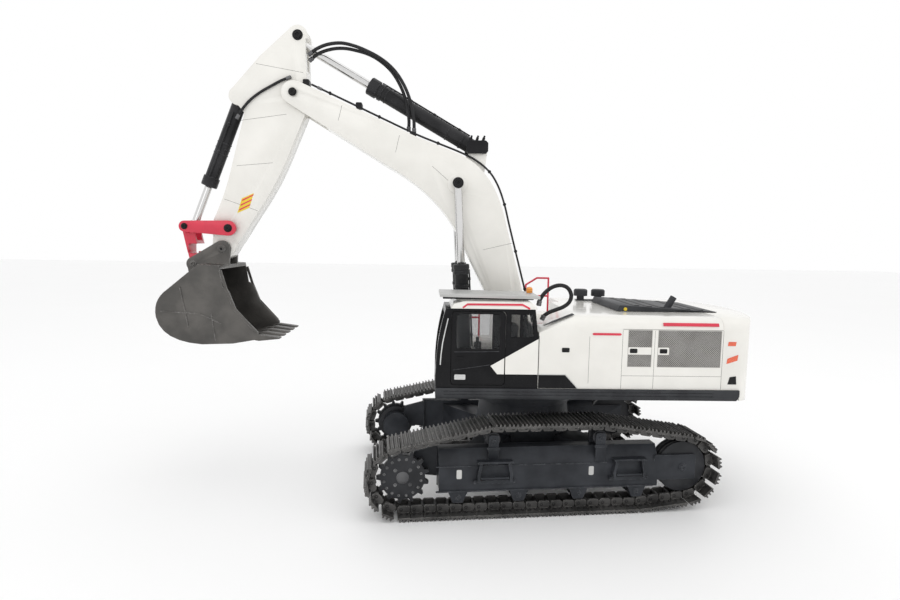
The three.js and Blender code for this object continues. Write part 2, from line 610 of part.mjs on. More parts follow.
function bodyHousing() {
  const wall = HOUSING_WALL;
  const rear = COUNTERWEIGHT_X - TOUCH_GAP;
  const tankY = -CAB_INNER_Y;
  const outer = SIDE_Y + 1;

  // Full width engine bay, lower at its right front corner.
  const bay = lengthwise(shouldered(0, DECK_Z), HOUSING_FRONT_X, rear);
  const bayInside = lengthwise(shouldered(wall, DECK_Z), HOUSING_FRONT_X + wall, rear - wall);
  const corner = box(HOUSING_FRONT_X - 1, TANK_REAR_X - 1, tankY, outer, HOUSING_BOTTOM - 2, DECK_Z + 1);
  const cornerInside = box(0, TANK_REAR_X - 1 + wall, tankY - wall, outer, HOUSING_BOTTOM - 2, DECK_Z + 1);

  // Tank and tool box to the right of the boom.
  const block = (x0, x1, top, inset) => lengthwise(shouldered(inset, top, tankY, SIDE_Y), x0, x1);
  const tank = block(TANK_STEP_X, TANK_REAR_X, TANK_TOP_Z, 0);
  const tankInside = block(TANK_STEP_X + wall, TANK_REAR_X + wall, TANK_TOP_Z, wall);
  const toolBox = block(TANK_FRONT_X + 2, TANK_STEP_X + 1, TOOL_BOX_TOP_Z, 0);
  const toolBoxInside = block(TANK_FRONT_X + 2 + wall, TANK_STEP_X + wall + 1, TOOL_BOX_TOP_Z, wall);

  // Behind the cab.
  const fillerEnd = HOUSING_FRONT_X + wall + 4;
  const sides = (inset) => lengthwise(shouldered(inset, DECK_Z), CAB_REAR_X, fillerEnd);
  const filler = across(fillerProfile(0), -SIDE_Y, CAB_INNER_Y).intersect(sides(0));
  const fillerInside = across(fillerProfile(wall), -SIDE_Y, CAB_INNER_Y - wall).intersect(sides(wall));

  const pockets = VENTS.map((vent) =>
    box(vent.x0, vent.x1, -SIDE_Y - 1, -SIDE_Y + VENT_POCKET, vent.z0, vent.z1),
  );
  const shell = join(cut(bay, corner), tank, toolBox, filler);
  return cut(shell, cut(bayInside, cornerInside), tankInside, toolBoxInside, fillerInside, ...pockets);
}

function counterweight() {
  const block = upright(tailPlan(COUNTERWEIGHT_X), HOUSING_BOTTOM, DECK_Z, 10);
  const limit = lengthwise(shouldered(0, DECK_Z), COUNTERWEIGHT_X, TAIL_RADIUS + 10);
  const lowerTop = HOUSING_BOTTOM + 1;
  const behindSkirt = box(SKIRT_END_X + TOUCH_GAP, TAIL_RADIUS, -SIDE_Y, SIDE_Y, SKIRT_BOTTOM, lowerTop);
  const lower = upright(tailPlan(COUNTERWEIGHT_X), SKIRT_BOTTOM, lowerTop, 10).intersect(behindSkirt);
  const recess = roundedBlock(-60, 60, 140, 185, 6);
  return cut(join(block.intersect(limit), lower), lengthwise(recess, TAIL_RADIUS - 6, TAIL_RADIUS + 10));
}

const HOOD = { x0: 88, x1: 196, y0: -58, y1: 44 };
const EXHAUST = { x: 146, y: -42, lean: 9, radius: 3.6, top: DECK_Z + 15 };

function hoodCover() {
  const profile = outline(
    [HOOD.x0, DECK_Z + TOUCH_GAP],
    [HOOD.x1, DECK_Z + TOUCH_GAP],
    [HOOD.x1, DECK_Z + 1],
    [HOOD.x0 + 6, DECK_Z + HOOD_HEIGHT],
    [HOOD.x0 + 3, DECK_Z + HOOD_HEIGHT],
  );
  // The exhaust stub is moulded on.
  const foot = new THREE.Vector3(EXHAUST.x - 1, EXHAUST.y, DECK_Z - 2);
  const tip = new THREE.Vector3(EXHAUST.x + EXHAUST.lean, EXHAUST.y, EXHAUST.top);
  const limit = box(0, 300, -100, 100, DECK_Z + TOUCH_GAP, EXHAUST.top + 10);
  const pipe = barBetween(foot, tip, EXHAUST.radius).intersect(limit);
  const along = (share) => new THREE.Vector3().lerpVectors(foot, tip, share);
  const mouth = barBetween(along(0.8), along(1.2), EXHAUST.radius - 1.1);
  return cut(join(across(profile, HOOD.y0, HOOD.y1), pipe), mouth);
}

// Two round air intakes on one base plate.
const INTAKE = { x0: 79, x1: 101, y: 62, capRadius: 8.5, capHeight: 8.5, stemRadius: 4.5, stemHeight: 5.5 };

function intakeCaps() {
  const z0 = DECK_Z + TOUCH_GAP;
  const edge = INTAKE.stemRadius + 1.5;
  let caps = box(INTAKE.x0 - edge, INTAKE.x1 + edge, INTAKE.y - edge, INTAKE.y + edge, z0, z0 + 1);
  for (const x of [INTAKE.x0, INTAKE.x1]) {
    const neckTop = z0 + INTAKE.stemHeight;
    const profile = [
      point(0, z0),
      point(INTAKE.stemRadius, z0),
      point(INTAKE.stemRadius, neckTop),
      point(INTAKE.capRadius, neckTop),
      point(INTAKE.capRadius, neckTop + INTAKE.capHeight - 1.5),
      point(INTAKE.capRadius - 1.5, neckTop + INTAKE.capHeight),
      point(0, neckTop + INTAKE.capHeight),
    ];
    const cap = new THREE.LatheGeometry(profile, 20).rotateX(Math.PI / 2);
    caps = join(caps, solid(cap.translate(x, INTAKE.y, 0)));
  }
  return caps;
}

// ---------------------------------------------------------------- handrail on the tank
const RAIL_RADIUS = 1.2;
const RAIL_Y = 82;
const RAIL_LOW_Z = 196; // of the stretch over the tool box

function handrail() {
  const path = [
    [-46, TOOL_BOX_TOP_Z + TOUCH_GAP],
    [-46, RAIL_LOW_Z],
    [13, RAIL_LOW_Z],
    [13, 217],
    [27, 226],
    [42, 226],
    [42, TANK_TOP_Z + TOUCH_GAP],
  ];
  const spots = path.map(([x, z]) => new THREE.Vector3(x, RAIL_Y, z));
  const bar = (from, to) => barBetween(from, to, RAIL_RADIUS, 8);
  const elbow = (spot) => solid(new THREE.SphereGeometry(RAIL_RADIUS, 8, 6).translate(...spot.toArray()));
  let rail = bar(spots[0], spots[1]);
  for (let index = 1; index < spots.length - 1; index++) {
    rail = join(rail, elbow(spots[index]), bar(spots[index], spots[index + 1]));
  }
  const at = (x, z) => new THREE.Vector3(x, RAIL_Y, z);
  const foot = bar(at(13, TANK_TOP_Z + TOUCH_GAP), at(13, RAIL_LOW_Z));
  return join(rail, foot, bar(at(13, 203), at(42, 203)), bar(at(-58, 174), at(-46, 174)));
}

// ---------------------------------------------------------------- inside the housing
const BATTERY = { x0: 96, x1: 166, y0: -22, y1: 22, height: 24 };
const BOARD = { x0: 50, x1: 88, y0: -40, y1: 40, z: 150 };
const SWING_MOTOR = { x: 62, y: 0, radius: 14, height: 18 };

function controlBoard() {
  const board = box(BOARD.x0, BOARD.x1, BOARD.y0, BOARD.y1, BOARD.z, BOARD.z + 1.6);
  const chip = box(BOARD.x0 + 8, BOARD.x0 + 20, -8, 8, BOARD.z + 1, BOARD.z + 4);
  const sockets = [-30, -18, 18, 30].map((y) =>
    box(BOARD.x1 - 8, BOARD.x1 - 2, y - 4, y + 4, BOARD.z + 1, BOARD.z + 8),
  );
  return join(board, chip, ...sockets);
}

function swingMotor() {
  const standing = (radius, z0, z1) =>
    solid(
      new THREE.CylinderGeometry(radius, radius, z1 - z0, 20)
        .rotateX(Math.PI / 2)
        .translate(SWING_MOTOR.x, SWING_MOTOR.y, (z0 + z1) / 2),
    );
  const base = PLATE_TOP + TOUCH_GAP;
  return join(
    standing(SWING_MOTOR.radius, base, base + SWING_MOTOR.height),
    standing(4, base + SWING_MOTOR.height - 1, base + SWING_MOTOR.height + 3),
  );
}

add(upper, "body_housing", bodyHousing(), warmWhite);
add(upper, "counterweight", counterweight(), warmWhite);
add(upper, "hood_cover", hoodCover(), charcoal);
add(upper, "intake_caps", intakeCaps(), charcoal);
add(upper, "handrail", handrail(), accentRed);
const batteryBase = PLATE_TOP + TOUCH_GAP;
const batteryTop = batteryBase + BATTERY.height;
const battery = box(BATTERY.x0, BATTERY.x1, BATTERY.y0, BATTERY.y1, batteryBase, batteryTop);
add(upper, "battery_pack", battery, blackPlastic);
add(upper, "control_board", controlBoard(), boardGreen);
add(upper, "swing_motor", swingMotor(), motorSteel);

// ---------------------------------------------------------------- cab
const CAB_BOTTOM = SKIRT_TOP + TOUCH_GAP;
const DOOR = { x0: -89, x1: -36, z0: CAB_BOTTOM + 3, z1: CAB_TOP - 2.6, thickness: 2.4, radius: 4 };
const DOOR_WINDOW = { x0: -84, x1: -41.5, z0: 166, z1: CAB_TOP - 5 };
const HINGE_RADIUS = 1.1;
const DOOR_GAP = 0.5;

// Side view of the cab: a slanted windscreen that curves down to an upright nose.
function cabProfile(inset, bottom) {
  const shape = new THREE.Shape();
  shape.moveTo(FRONT_X + inset, bottom);
  shape.lineTo(CAB_REAR_X - inset, bottom);
  shape.lineTo(CAB_REAR_X - inset, CAB_TOP - 32);
  shape.lineTo(CAB_REAR_X - 4 - inset, CAB_TOP - inset);
  shape.lineTo(FRONT_X + 9 + inset, CAB_TOP - inset);
  shape.quadraticCurveTo(FRONT_X + inset, 175, FRONT_X + inset, 140);
  shape.closePath();
  return shape;
}

function cabFrame() {
  const shell = cut(
    across(cabProfile(0, CAB_BOTTOM), -SIDE_Y, CAB_INNER_Y),
    across(cabProfile(CAB_WALL, CAB_BOTTOM + CAB_WALL), -SIDE_Y + CAB_WALL, CAB_INNER_Y - CAB_WALL),
  );
  const window = (x0, x1, y0, y1, z0, z1) => box(x0, x1, y0, y1, z0, z1);
  const top = CAB_TOP - 5;
  const gap = DOOR_GAP;
  const doorway = roundedBlock(DOOR.x0 - gap, DOOR.x1 + gap, DOOR.z0 - gap, DOOR.z1 + gap, DOOR.radius);
  const rearSideWindow = outline([-30.5, 178], [-8, 178], [-9, top], [-30.5, top]);
  return cut(
    shell,
    across(doorway, -SIDE_Y - 1, -SIDE_Y + CAB_WALL + 1, 3),
    across(rearSideWindow, -SIDE_Y - 1, -SIDE_Y + CAB_WALL + 1),
    window(FRONT_X - 1, FRONT_X + 16, -SIDE_Y + 8, CAB_INNER_Y - 8, 146, top),
    window(-84, -42, CAB_INNER_Y - CAB_WALL - 1, CAB_INNER_Y + 1, 152, top),
    window(-32, -12, CAB_INNER_Y - CAB_WALL - 1, CAB_INNER_Y + 1, 165, top),
    window(CAB_REAR_X - 12, CAB_REAR_X + 1, -SIDE_Y + 10, CAB_INNER_Y - 10, DECK_Z - 12, top),
  );
}

function cabDoor() {
  const y0 = -SIDE_Y;
  const y1 = -SIDE_Y + DOOR.thickness;
  const leaf = across(roundedBlock(DOOR.x0, DOOR.x1, DOOR.z0, DOOR.z1, DOOR.radius), y0, y1, 3);
  const pane = roundedBlock(DOOR_WINDOW.x0, DOOR_WINDOW.x1, DOOR_WINDOW.z0, DOOR_WINDOW.z1, 3);
  const handle = box(DOOR.x0 + 5, DOOR.x0 + 12, y0 - 1.2, y0 + 1, 156, 158.5);
  return join(cut(leaf, across(pane, y0 - 1, y1 + 1, 3)), handle);
}

function cabRoof() {
  const z0 = CAB_TOP + TOUCH_GAP;
  const profile = outline(
    [FRONT_X + 14, z0],
    [CAB_REAR_X - 2, z0],
    [CAB_REAR_X - 3, z0 + CAB_ROOF_HEIGHT - 5],
    [CAB_REAR_X - 9, z0 + CAB_ROOF_HEIGHT],
    [FRONT_X + 30, z0 + CAB_ROOF_HEIGHT],
    [FRONT_X + 17, z0 + CAB_ROOF_HEIGHT - 3],
  );
  const cross = roundedBlock(-SIDE_Y, CAB_INNER_Y, z0 - 10, z0 + CAB_ROOF_HEIGHT, 6);
  return across(profile, -SIDE_Y, CAB_INNER_Y).intersect(lengthwise(cross, FRONT_X, CAB_REAR_X));
}

function roofGuard() {
  const plate = outline(
    [FRONT_X + 3, GUARD_Z],
    [CAB_REAR_X + 1, GUARD_Z - 1],
    [CAB_REAR_X + 1, GUARD_Z + 2],
    [FRONT_X + 3, GUARD_Z + GUARD_THICKNESS],
  );
  let guard = across(plate, -SIDE_Y + 4, CAB_INNER_Y - 4);
  const slotLength = 56;
  for (let row = 0; row < 5; row++) {
    const y = -SIDE_Y + 12 + row * 10.5;
    guard = cut(guard, box(-80, -80 + slotLength, y, y + 4, GUARD_Z - 2, GUARD_Z + 5));
  }
  const roofTop = CAB_TOP + TOUCH_GAP + CAB_ROOF_HEIGHT + TOUCH_GAP;
  for (const x of [-66, -22]) {
    for (const y of [-SIDE_Y + 8, CAB_INNER_Y - 12]) {
      guard = join(guard, box(x - 4, x + 4, y, y + 4, roofTop, GUARD_Z + 0.5));
    }
  }
  return guard;
}

const SEAT = { x: -38, y: (-SIDE_Y + CAB_INNER_Y) / 2, width: 26 };

function seat() {
  const floor = CAB_BOTTOM + CAB_WALL + TOUCH_GAP;
  const half = SEAT.width / 2;
  const profile = outline(
    [SEAT.x - 14, floor],
    [SEAT.x + 8, floor],
    [SEAT.x + 14, floor + 22],
    [SEAT.x + 18, floor + 56],
    [SEAT.x + 11, floor + 57],
    [SEAT.x + 5, floor + 24],
    [SEAT.x - 17, floor + 24],
    [SEAT.x - 17, floor + 16],
    [SEAT.x - 12, floor + 14],
  );
  const cushion = across(profile, SEAT.y - half, SEAT.y + half);
  const levers = [-1, 1].map((side) => {
    const y = SEAT.y + side * (half + 1.5);
    return join(
      box(SEAT.x - 24, SEAT.x + 6, y - 2.5, y + 2.5, floor + 20, floor + 27),
      box(SEAT.x - 23, SEAT.x - 20, y - 1.5, y + 1.5, floor + 26, floor + 40),
    );
  });
  return join(cushion, ...levers);
}

const BEACON = { x: CAB_REAR_X - 1, y: -64, radius: 3.4, height: 6.4 };

function beacon() {
  const z0 = GUARD_Z + GUARD_THICKNESS - 0.9 + TOUCH_GAP;
  const top = z0 + BEACON.height;
  const profile = [
    point(0, z0),
    point(BEACON.radius, z0),
    point(BEACON.radius, top - 2),
    point(BEACON.radius - 1, top - 0.5),
    point(0, top),
  ];
  const lamp = solid(new THREE.LatheGeometry(profile, 16).rotateX(Math.PI / 2));
  return lamp.translate([BEACON.x - 3, BEACON.y, 0]);
}

add(upper, "cab_frame", cabFrame(), blackPlastic);
add(upper, "cab_door", cabDoor(), blackPlastic);
add(upper, "cab_roof", cabRoof(), warmWhite);
add(upper, "roof_guard", roofGuard(), charcoal);
add(upper, "seat", seat(), blackPlastic);
add(upper, "beacon", beacon(), amber);

// ---------------------------------------------------------------- hydraulic cylinders
const lifted = (spot, y) => new THREE.Vector3(spot.x, y, spot.y);

function barrel(spec, foot, eye, y, eyeHalf, eyeRadius, bored) {
  const along = new THREE.Vector2().subVectors(eye, foot).normalize();
  const at = (distance) => lifted(foot.clone().addScaledVector(along, distance), y);
  const tube = join(
    barBetween(at(eyeRadius * 0.6), at(spec.mouth), spec.barrel, 24),
    barBetween(at(spec.mouth - 11), at(spec.mouth), spec.barrel + 0.9, 24),
    barAcross(foot, eyeRadius, y - eyeHalf, y + eyeHalf, 20),
  );
  const bore = barBetween(at(16), at(spec.mouth + 1), spec.rod + GLAND_CLEARANCE, 20);
  const eyeHole = barAcross(foot, spec.pin + PIN_CLEARANCE, y - eyeHalf - 6, y + eyeHalf + 6, 16);
  const trimmed = cut(
    tube,
    bore,
    ...[-1, 1].map((face) => {
      const near = y + face * eyeHalf;
      const range = face > 0 ? [near, near + 20] : [near - 20, near];
      return barAcross(foot, eyeRadius + spec.neck, ...range, 20);
    }),
  );
  return bored ? cut(trimmed, eyeHole) : trimmed;
}

function rod(spec, foot, eye, y, eyeHalf, bored) {
  const along = new THREE.Vector2().subVectors(foot, eye).normalize();
  const at = (distance) => lifted(eye.clone().addScaledVector(along, distance), y);
  const bar = join(
    barBetween(at(spec.eye * 0.5), at(spec.rodLength), spec.rod, 20),
    barAcross(eye, spec.eye, y - eyeHalf, y + eyeHalf, 20),
  );
  return bored ? cut(bar, barAcross(eye, spec.pin + PIN_CLEARANCE, y - 20, y + 20, 16)) : bar;
}

const LIFT_HEAD_PIN = 3;
const ARM_EYE_HALF = 8.4;
const ARM_ROD_HALF = 5.6;
const BUCKET_EYE_HALF = 8;
const BUCKET_ROD_HALF = 5.6;

for (const [sideName, side] of [["left", -1], ["right", 1]]) {
  const y = side * LIFT_CYLINDER_Y;
  const tube = barrel(LIFT, LIFT_FOOT, LIFT_HEAD, y, LIFT_EYE_HALF, 5.5, false);
  add(upper, `boom_cylinder_${sideName}`, tube, blackPlastic);
  add(upper, `boom_rod_${sideName}`, rod(LIFT, LIFT_FOOT, LIFT_HEAD, y, LIFT_EYE_HALF, true), polishedSteel);
}
add(upper, "arm_cylinder", barrel(ARM, ARM_CYLINDER_FOOT, ARM_ROD_EYE, 0, ARM_EYE_HALF, 7, true), charcoal);
add(upper, "arm_rod", rod(ARM, ARM_CYLINDER_FOOT, ARM_ROD_EYE, 0, ARM_ROD_HALF, false), polishedSteel);
const bucketBarrel = barrel(BUCKET, BUCKET_CYLINDER_FOOT, BUCKET_ROD_EYE, 0, BUCKET_EYE_HALF, 6.5, true);
add(upper, "bucket_cylinder", bucketBarrel, blackPlastic);
const bucketRod = rod(BUCKET, BUCKET_CYLINDER_FOOT, BUCKET_ROD_EYE, 0, BUCKET_ROD_HALF, false);
add(upper, "bucket_rod", bucketRod, polishedSteel);
const liftPinReach = LIFT_CYLINDER_Y + LIFT_EYE_HALF + 2;
add(upper, "boom_lift_pin", barAcross(LIFT_HEAD, LIFT_HEAD_PIN, -liftPinReach, liftPinReach), blackPlastic);

// ---------------------------------------------------------------- boom
const STICK_PIN = 3.4;
const FORK_REACH = 50;

function boomOutline() {
  const shape = new THREE.Shape();
  shape.absarc(BOOM_FOOT.x, BOOM_FOOT.y, 14, Math.PI * 0.94, Math.PI * 2.03, false);
  shape.lineTo(-27, 290);
  shape.quadraticCurveTo(-40, 349, -80, 365.5);
  shape.lineTo(-125, 382);
  shape.lineTo(STICK_PIVOT.x + 5, STICK_PIVOT.y + 12);
  shape.absarc(STICK_PIVOT.x, STICK_PIVOT.y, 12.5, Math.PI * 0.4, Math.PI * 1.34, false);
  shape.lineTo(-161, 353);
  shape.quadraticCurveTo(-100, 322, -76, 270);
  shape.closePath();
  return shape;
}

function boom() {
  const beam = across(boomOutline(), -BOOM_HALF_WIDTH, BOOM_HALF_WIDTH, 10);
  const boss = barAcross(LIFT_HEAD, 11, -BOOM_HALF_WIDTH - 2.5, BOOM_HALF_WIDTH + 2.5, 24);
  const pinHole = barAcross(LIFT_HEAD, LIFT_HEAD_PIN + PIN_CLEARANCE, -60, 60);
  const footHole = barAcross(BOOM_FOOT, BOOM_FOOT_PIN + PIN_CLEARANCE, -60, 60);
  const forkHole = barAcross(STICK_PIVOT, STICK_PIN + PIN_CLEARANCE, -60, 60);
  const slotHalf = STICK_HALF_WIDTH + SIDE_PLAY;
  const fork = barAcross(STICK_PIVOT, FORK_REACH, -slotHalf, slotHalf, 40);

  // Ears on the boom's back for the arm cylinder, with the pin between them.
  const earInner = ARM_EYE_HALF + SIDE_PLAY;
  const ear = strap(ARM_CYLINDER_FOOT, point(-66, 350), 7.5, 14);
  const ears = [-1, 1].map((side) => across(ear, ...sideRange(side, earInner, earInner + 3.5)));
  const earPin = barAcross(ARM_CYLINDER_FOOT, ARM.pin, -earInner - 1, earInner + 1, 16);
  return cut(join(beam, boss, ...ears, earPin), pinHole, footHole, forkHole, fork);
}

// ---------------------------------------------------------------- stick
const BUCKET_PIN = 3;
const ROCKER_PIN = 3;
const EAR_INNER = STICK_HALF_WIDTH - 1; // inner faces of the bucket's ears
const STICK_CHEEK_RADIUS = 18;

function stickOutline() {
  const shape = new THREE.Shape();
  shape.moveTo(-246.5, 442);
  shape.lineTo(-247.5, 483);
  shape.absarc(-255.8, 487, 10.5, -Math.PI * 0.1, Math.PI * 0.72, false);
  shape.lineTo(-296, 464);
  shape.lineTo(-324, 432);
  shape.absarc(BUCKET_CYLINDER_FOOT.x, BUCKET_CYLINDER_FOOT.y, 10, Math.PI * 0.8, Math.PI * 1.5, false);
  shape.lineTo(-313, 404);
  shape.lineTo(-326, 353);
  shape.quadraticCurveTo(-334, 318, -347.5, 290);
  shape.absarc(BUCKET_PIVOT.x, BUCKET_PIVOT.y, 11.5, Math.PI * 0.95, Math.PI * 1.85, false);
  shape.lineTo(-302, 295);
  shape.quadraticCurveTo(-279, 328, -264, 366);
  shape.lineTo(-249, 402);
  shape.quadraticCurveTo(-244, 422, -246.5, 442);
  return shape;
}

function stick() {
  const beam = across(stickOutline(), -STICK_HALF_WIDTH, STICK_HALF_WIDTH, 8);
  const hole = (centre, radius) => barAcross(centre, radius + PIN_CLEARANCE, -60, 60);
  const rodSlotFloor = outline([-290, 470], [-264, 467], [-244, 449], [-200, 420], [-200, 520], [-290, 520]);
  const rodSlot = across(rodSlotFloor, -ARM_ROD_HALF - SIDE_PLAY, ARM_ROD_HALF + SIDE_PLAY);
  const footSlotHalf = BUCKET_EYE_HALF + SIDE_PLAY;
  const towardsRod = new THREE.Vector2().subVectors(BUCKET_ROD_EYE, BUCKET_CYLINDER_FOOT).normalize();
  const footSlotEnd = BUCKET_CYLINDER_FOOT.clone().addScaledVector(towardsRod, 50);
  const footSlot = across(strap(BUCKET_CYLINDER_FOOT, footSlotEnd, 11.5, 12), -footSlotHalf, footSlotHalf);
  const footPin = barAcross(BUCKET_CYLINDER_FOOT, BUCKET.pin, -footSlotHalf - 1, footSlotHalf + 1, 16);
  // The lower end is narrower, where the bucket's ears turn beside it.
  const cheeks = [-1, 1].map((side) => {
    const range = sideRange(side, EAR_INNER - SIDE_PLAY, STICK_HALF_WIDTH + 1);
    return barAcross(BUCKET_PIVOT, STICK_CHEEK_RADIUS, ...range, 28);
  });
  const bored = cut(beam, rodSlot, footSlot, hole(STICK_PIVOT, STICK_PIN), hole(BUCKET_PIVOT, BUCKET_PIN));
  return join(cut(bored, hole(ROCKER_PIVOT, ROCKER_PIN), ...cheeks), footPin);
}

add(upper, "boom", boom(), warmWhite);
add(upper, "stick", stick(), warmWhite);
const stickPinReach = BOOM_HALF_WIDTH + 2;
add(upper, "stick_pin", barAcross(STICK_PIVOT, STICK_PIN, -stickPinReach, stickPinReach), blackPlastic);

// ---------------------------------------------------------------- bucket linkage
const ROCKER_INNER = EAR_INNER + EAR_THICKNESS + SIDE_PLAY; // outside the bucket's ears
const LINK_HALF = EAR_INNER - SIDE_PLAY;
const LINK_FORK_INNER = 7.6;
const LINK_FOOT_HALF = STICK_HALF_WIDTH - 2;

function rockerArms() {
  const arm = strap(ROCKER_PIVOT, LINK_HEAD, 8.2, 6);
  const outer = ROCKER_INNER + ROCKER_THICKNESS;
  const arms = [-1, 1].map((side) => across(arm, ...sideRange(side, ROCKER_INNER, outer)));
  const pin = barAcross(ROCKER_PIVOT, ROCKER_PIN, -ROCKER_INNER - 1, ROCKER_INNER + 1);
  const trunnionEnd = BUCKET_ROD_HALF + SIDE_PLAY;
  const trunnions = [-1, 1].map((side) =>
    barAcross(LINK_HEAD, BUCKET.pin, ...sideRange(side, trunnionEnd, ROCKER_INNER + 1), 16),
  );
  return join(...arms, pin, ...trunnions);
}

function bucketLink() {
  const plate = strap(LINK_HEAD, LINK_FOOT, 6, 6);
  const body = across(plate, -LINK_HALF, LINK_HALF);
  const fork = box(-400, -350, -LINK_FORK_INNER, LINK_FORK_INNER, LINK_HEAD.y - 15, LINK_HEAD.y + 10);
  const window = roundedBlock(-376, -365, 252, 263, 2);
  const narrow = [-1, 1].map((side) =>
    box(-400, -350, ...sideRange(side, LINK_FOOT_HALF, LINK_HALF + 1), LINK_FOOT.y - 10, LINK_FOOT.y + 12),
  );
  const hole = barAcross(LINK_HEAD, BUCKET.pin + PIN_CLEARANCE, -30, 30, 16);
  return cut(body, fork, hole, across(window, -30, 30), ...narrow);
}

// ---------------------------------------------------------------- bucket
const TOOTH_WIDTH = 9;
const TOOTH_LENGTH = 22;

function bucketOutline(inset) {
  const shape = new THREE.Shape();
  shape.moveTo(-331.6, 241 - inset);
  shape.lineTo(-353 + inset * 0.3, 242 - inset);
  shape.lineTo(-389 + inset * 0.8, 212 - inset * 0.6);
  shape.quadraticCurveTo(-400 + inset, 202, -397.5 + inset, 186);
  shape.quadraticCurveTo(-392 + inset * 0.8, 160 + inset * 0.8, -350, 157.4 + inset);
  shape.lineTo(-318, 158.6 + inset);
  shape.lineTo(-291, 163.5 + inset * 1.4);
  shape.lineTo(-291.5, 171);
  shape.lineTo(-314, 194.5);
  shape.lineTo(-322, 214.5);
  shape.lineTo(-328, 218);
  shape.closePath();
  return shape;
}

function bucket() {
  const shell = across(bucketOutline(0), -BUCKET_HALF_WIDTH, BUCKET_HALF_WIDTH, 6);
  const scoop = bucketOutline(BUCKET_WALL).getPoints(6);
  const insideHalf = BUCKET_HALF_WIDTH - BUCKET_WALL;
  const mouth = outline([-333, 237], [-320, 237], [-270, 190], [-282, 167.2], [-293, 167.2], [-340, 190]);
  const belly = across(new THREE.Shape(scoop), -insideHalf, insideHalf);
  const hollow = join(belly, across(mouth, -insideHalf, insideHalf));
  let scoopShell = cut(shell, hollow);
  const ear = new THREE.Shape();
  ear.absarc(BUCKET_PIVOT.x, BUCKET_PIVOT.y, 9.2, -Math.PI * 0.12, Math.PI * 0.65, false);
  ear.absarc(BUCKET_LINK_HOLE.x, BUCKET_LINK_HOLE.y, 7.4, Math.PI * 0.6, Math.PI * 1.2, false);
  ear.lineTo(-374, 226);
  ear.lineTo(-352, 240.5);
  ear.lineTo(-331, 239.5);
  ear.closePath();
  for (const side of [-1, 1]) {
    scoopShell = join(scoopShell, across(ear, ...sideRange(side, EAR_INNER, EAR_INNER + EAR_THICKNESS)));
  }
  const toothStep = (2 * BUCKET_HALF_WIDTH - TOOTH_WIDTH) / (TOOTH_COUNT - 1);
  const tip = -291 + TOOTH_LENGTH;
  const tooth = outline([-298, 163], [-291, 161.8], [tip, 164.2], [tip, 165.6], [-290, 168.4], [-300, 166.6]);
  for (let index = 0; index < TOOTH_COUNT; index++) {
    const y = -BUCKET_HALF_WIDTH + index * toothStep;
    scoopShell = join(scoopShell, across(tooth, y, y + TOOTH_WIDTH));
  }
  return cut(scoopShell, barAcross(BUCKET_PIVOT, BUCKET_PIN + TOUCH_GAP, -40, 40));
}

add(upper, "rocker_arms", rockerArms(), accentRed);
add(upper, "bucket_link", bucketLink(), accentRed);
add(upper, "bucket", bucket(), bucketMetal);
const bucketPinReach = EAR_INNER + EAR_THICKNESS + 1.6;
add(upper, "bucket_pin", barAcross(BUCKET_PIVOT, BUCKET_PIN, -bucketPinReach, bucketPinReach), blackPlastic);

// ---------------------------------------------------------------- hoses and the cab cable
const hoses = {
  // Clipped along the back of the boom from its tip to its foot.
  boom_hose: {
    radius: 1.1,
    route: [
      [-241, -14.6, 435.6], [-221, -14.6, 426.8], [-195, -14.6, 415.4], [-168, -14.6, 403.4], [-130, -14.6, 386.8],
      [-104, -14.6, 377], [-80, -14.6, 368.1], [-62, -14.6, 359.6], [-47, -14.6, 347.6], [-37, -14.6, 332.4],
      [-29.4, -14.6, 312.4], [-23.6, -14.6, 290.4], [-15.6, -14.6, 261], [-7.6, -14.6, 231.6], [-0.9, -14.6, 207.2],
      [6.2, -14.6, 181],
    ],
  },
  // Across the cab side of the stick to the bucket cylinder.
  stick_hose: {
    radius: 1.4,
    route: [
      [-262.4, -14.9, 442.8], [-273, -14.9, 438.6], [-285, -14.9, 432], [-296, -14.9, 425.4],
      [-307, -14.9, 416.6], [-315, -14.9, 407], [-321, -14.9, 397],
    ],
  },
  // Two free hoses that arch from the stick's head over to the back of the boom.
  arch_hose_outer: {
    radius: 1.8,
    route: [
      [-244.6, -12, 466.4], [-236, -12.6, 473], [-224, -13.6, 477.8], [-209.5, -14.6, 479.4], [-195.5, -15.1, 476.8],
      [-182, -15.1, 472], [-168.8, -15.1, 465.6], [-157, -15.1, 457.2], [-147.4, -15.1, 446.6],
      [-139.4, -15.1, 432.8], [-134, -15, 418], [-130.8, -13.8, 402], [-130.2, -11.6, 387.4],
    ],
  },
  arch_hose_inner: {
    radius: 1.8,
    route: [
      [-244.6, -8, 461.4], [-234, -8.2, 469.8], [-220, -9.3, 474.4], [-206.5, -10.4, 475.2], [-193, -11.2, 473],
      [-180, -11.2, 469.4], [-168.8, -11.2, 463.6], [-158, -11.2, 455], [-149.8, -11.2, 444.6],
      [-143, -11.2, 431.6], [-138.6, -11.2, 417.6], [-136.2, -9.8, 402.6], [-136.4, -7.4, 389.6],
    ],
  },
  // A loop of cable from the cab's rear edge to the housing behind it.
  cab_cable: {
    radius: 2.1,
    route: [
      [2, -70, 206], [3.4, -70, 212.6], [8, -70, 219.5], [15.5, -69.5, 225.4], [24.5, -69, 227.6],
      [32.3, -68, 224.8], [36.4, -67, 217.6], [35, -66, 210.2], [29.4, -65, 205], [21.6, -64.5, 201.6],
      [14.2, -64.4, 198.6], [9, -64.2, 194.8], [7, -64, 190.4],
    ],
  },
};
for (const [name, { radius, route }] of Object.entries(hoses)) {
  add(upper, name, tubeAlong(route, radius, 2 * (route.length - 1)), blackRubber);
}

// ---------------------------------------------------------------- stand the machine on its origin
const extent = new THREE.Box3().setFromObject(machine);
machine.position.set(-(extent.min.x + extent.max.x) / 2, -(extent.min.y + extent.max.y) / 2, 0);
const group = new THREE.Group();
group.add(machine);

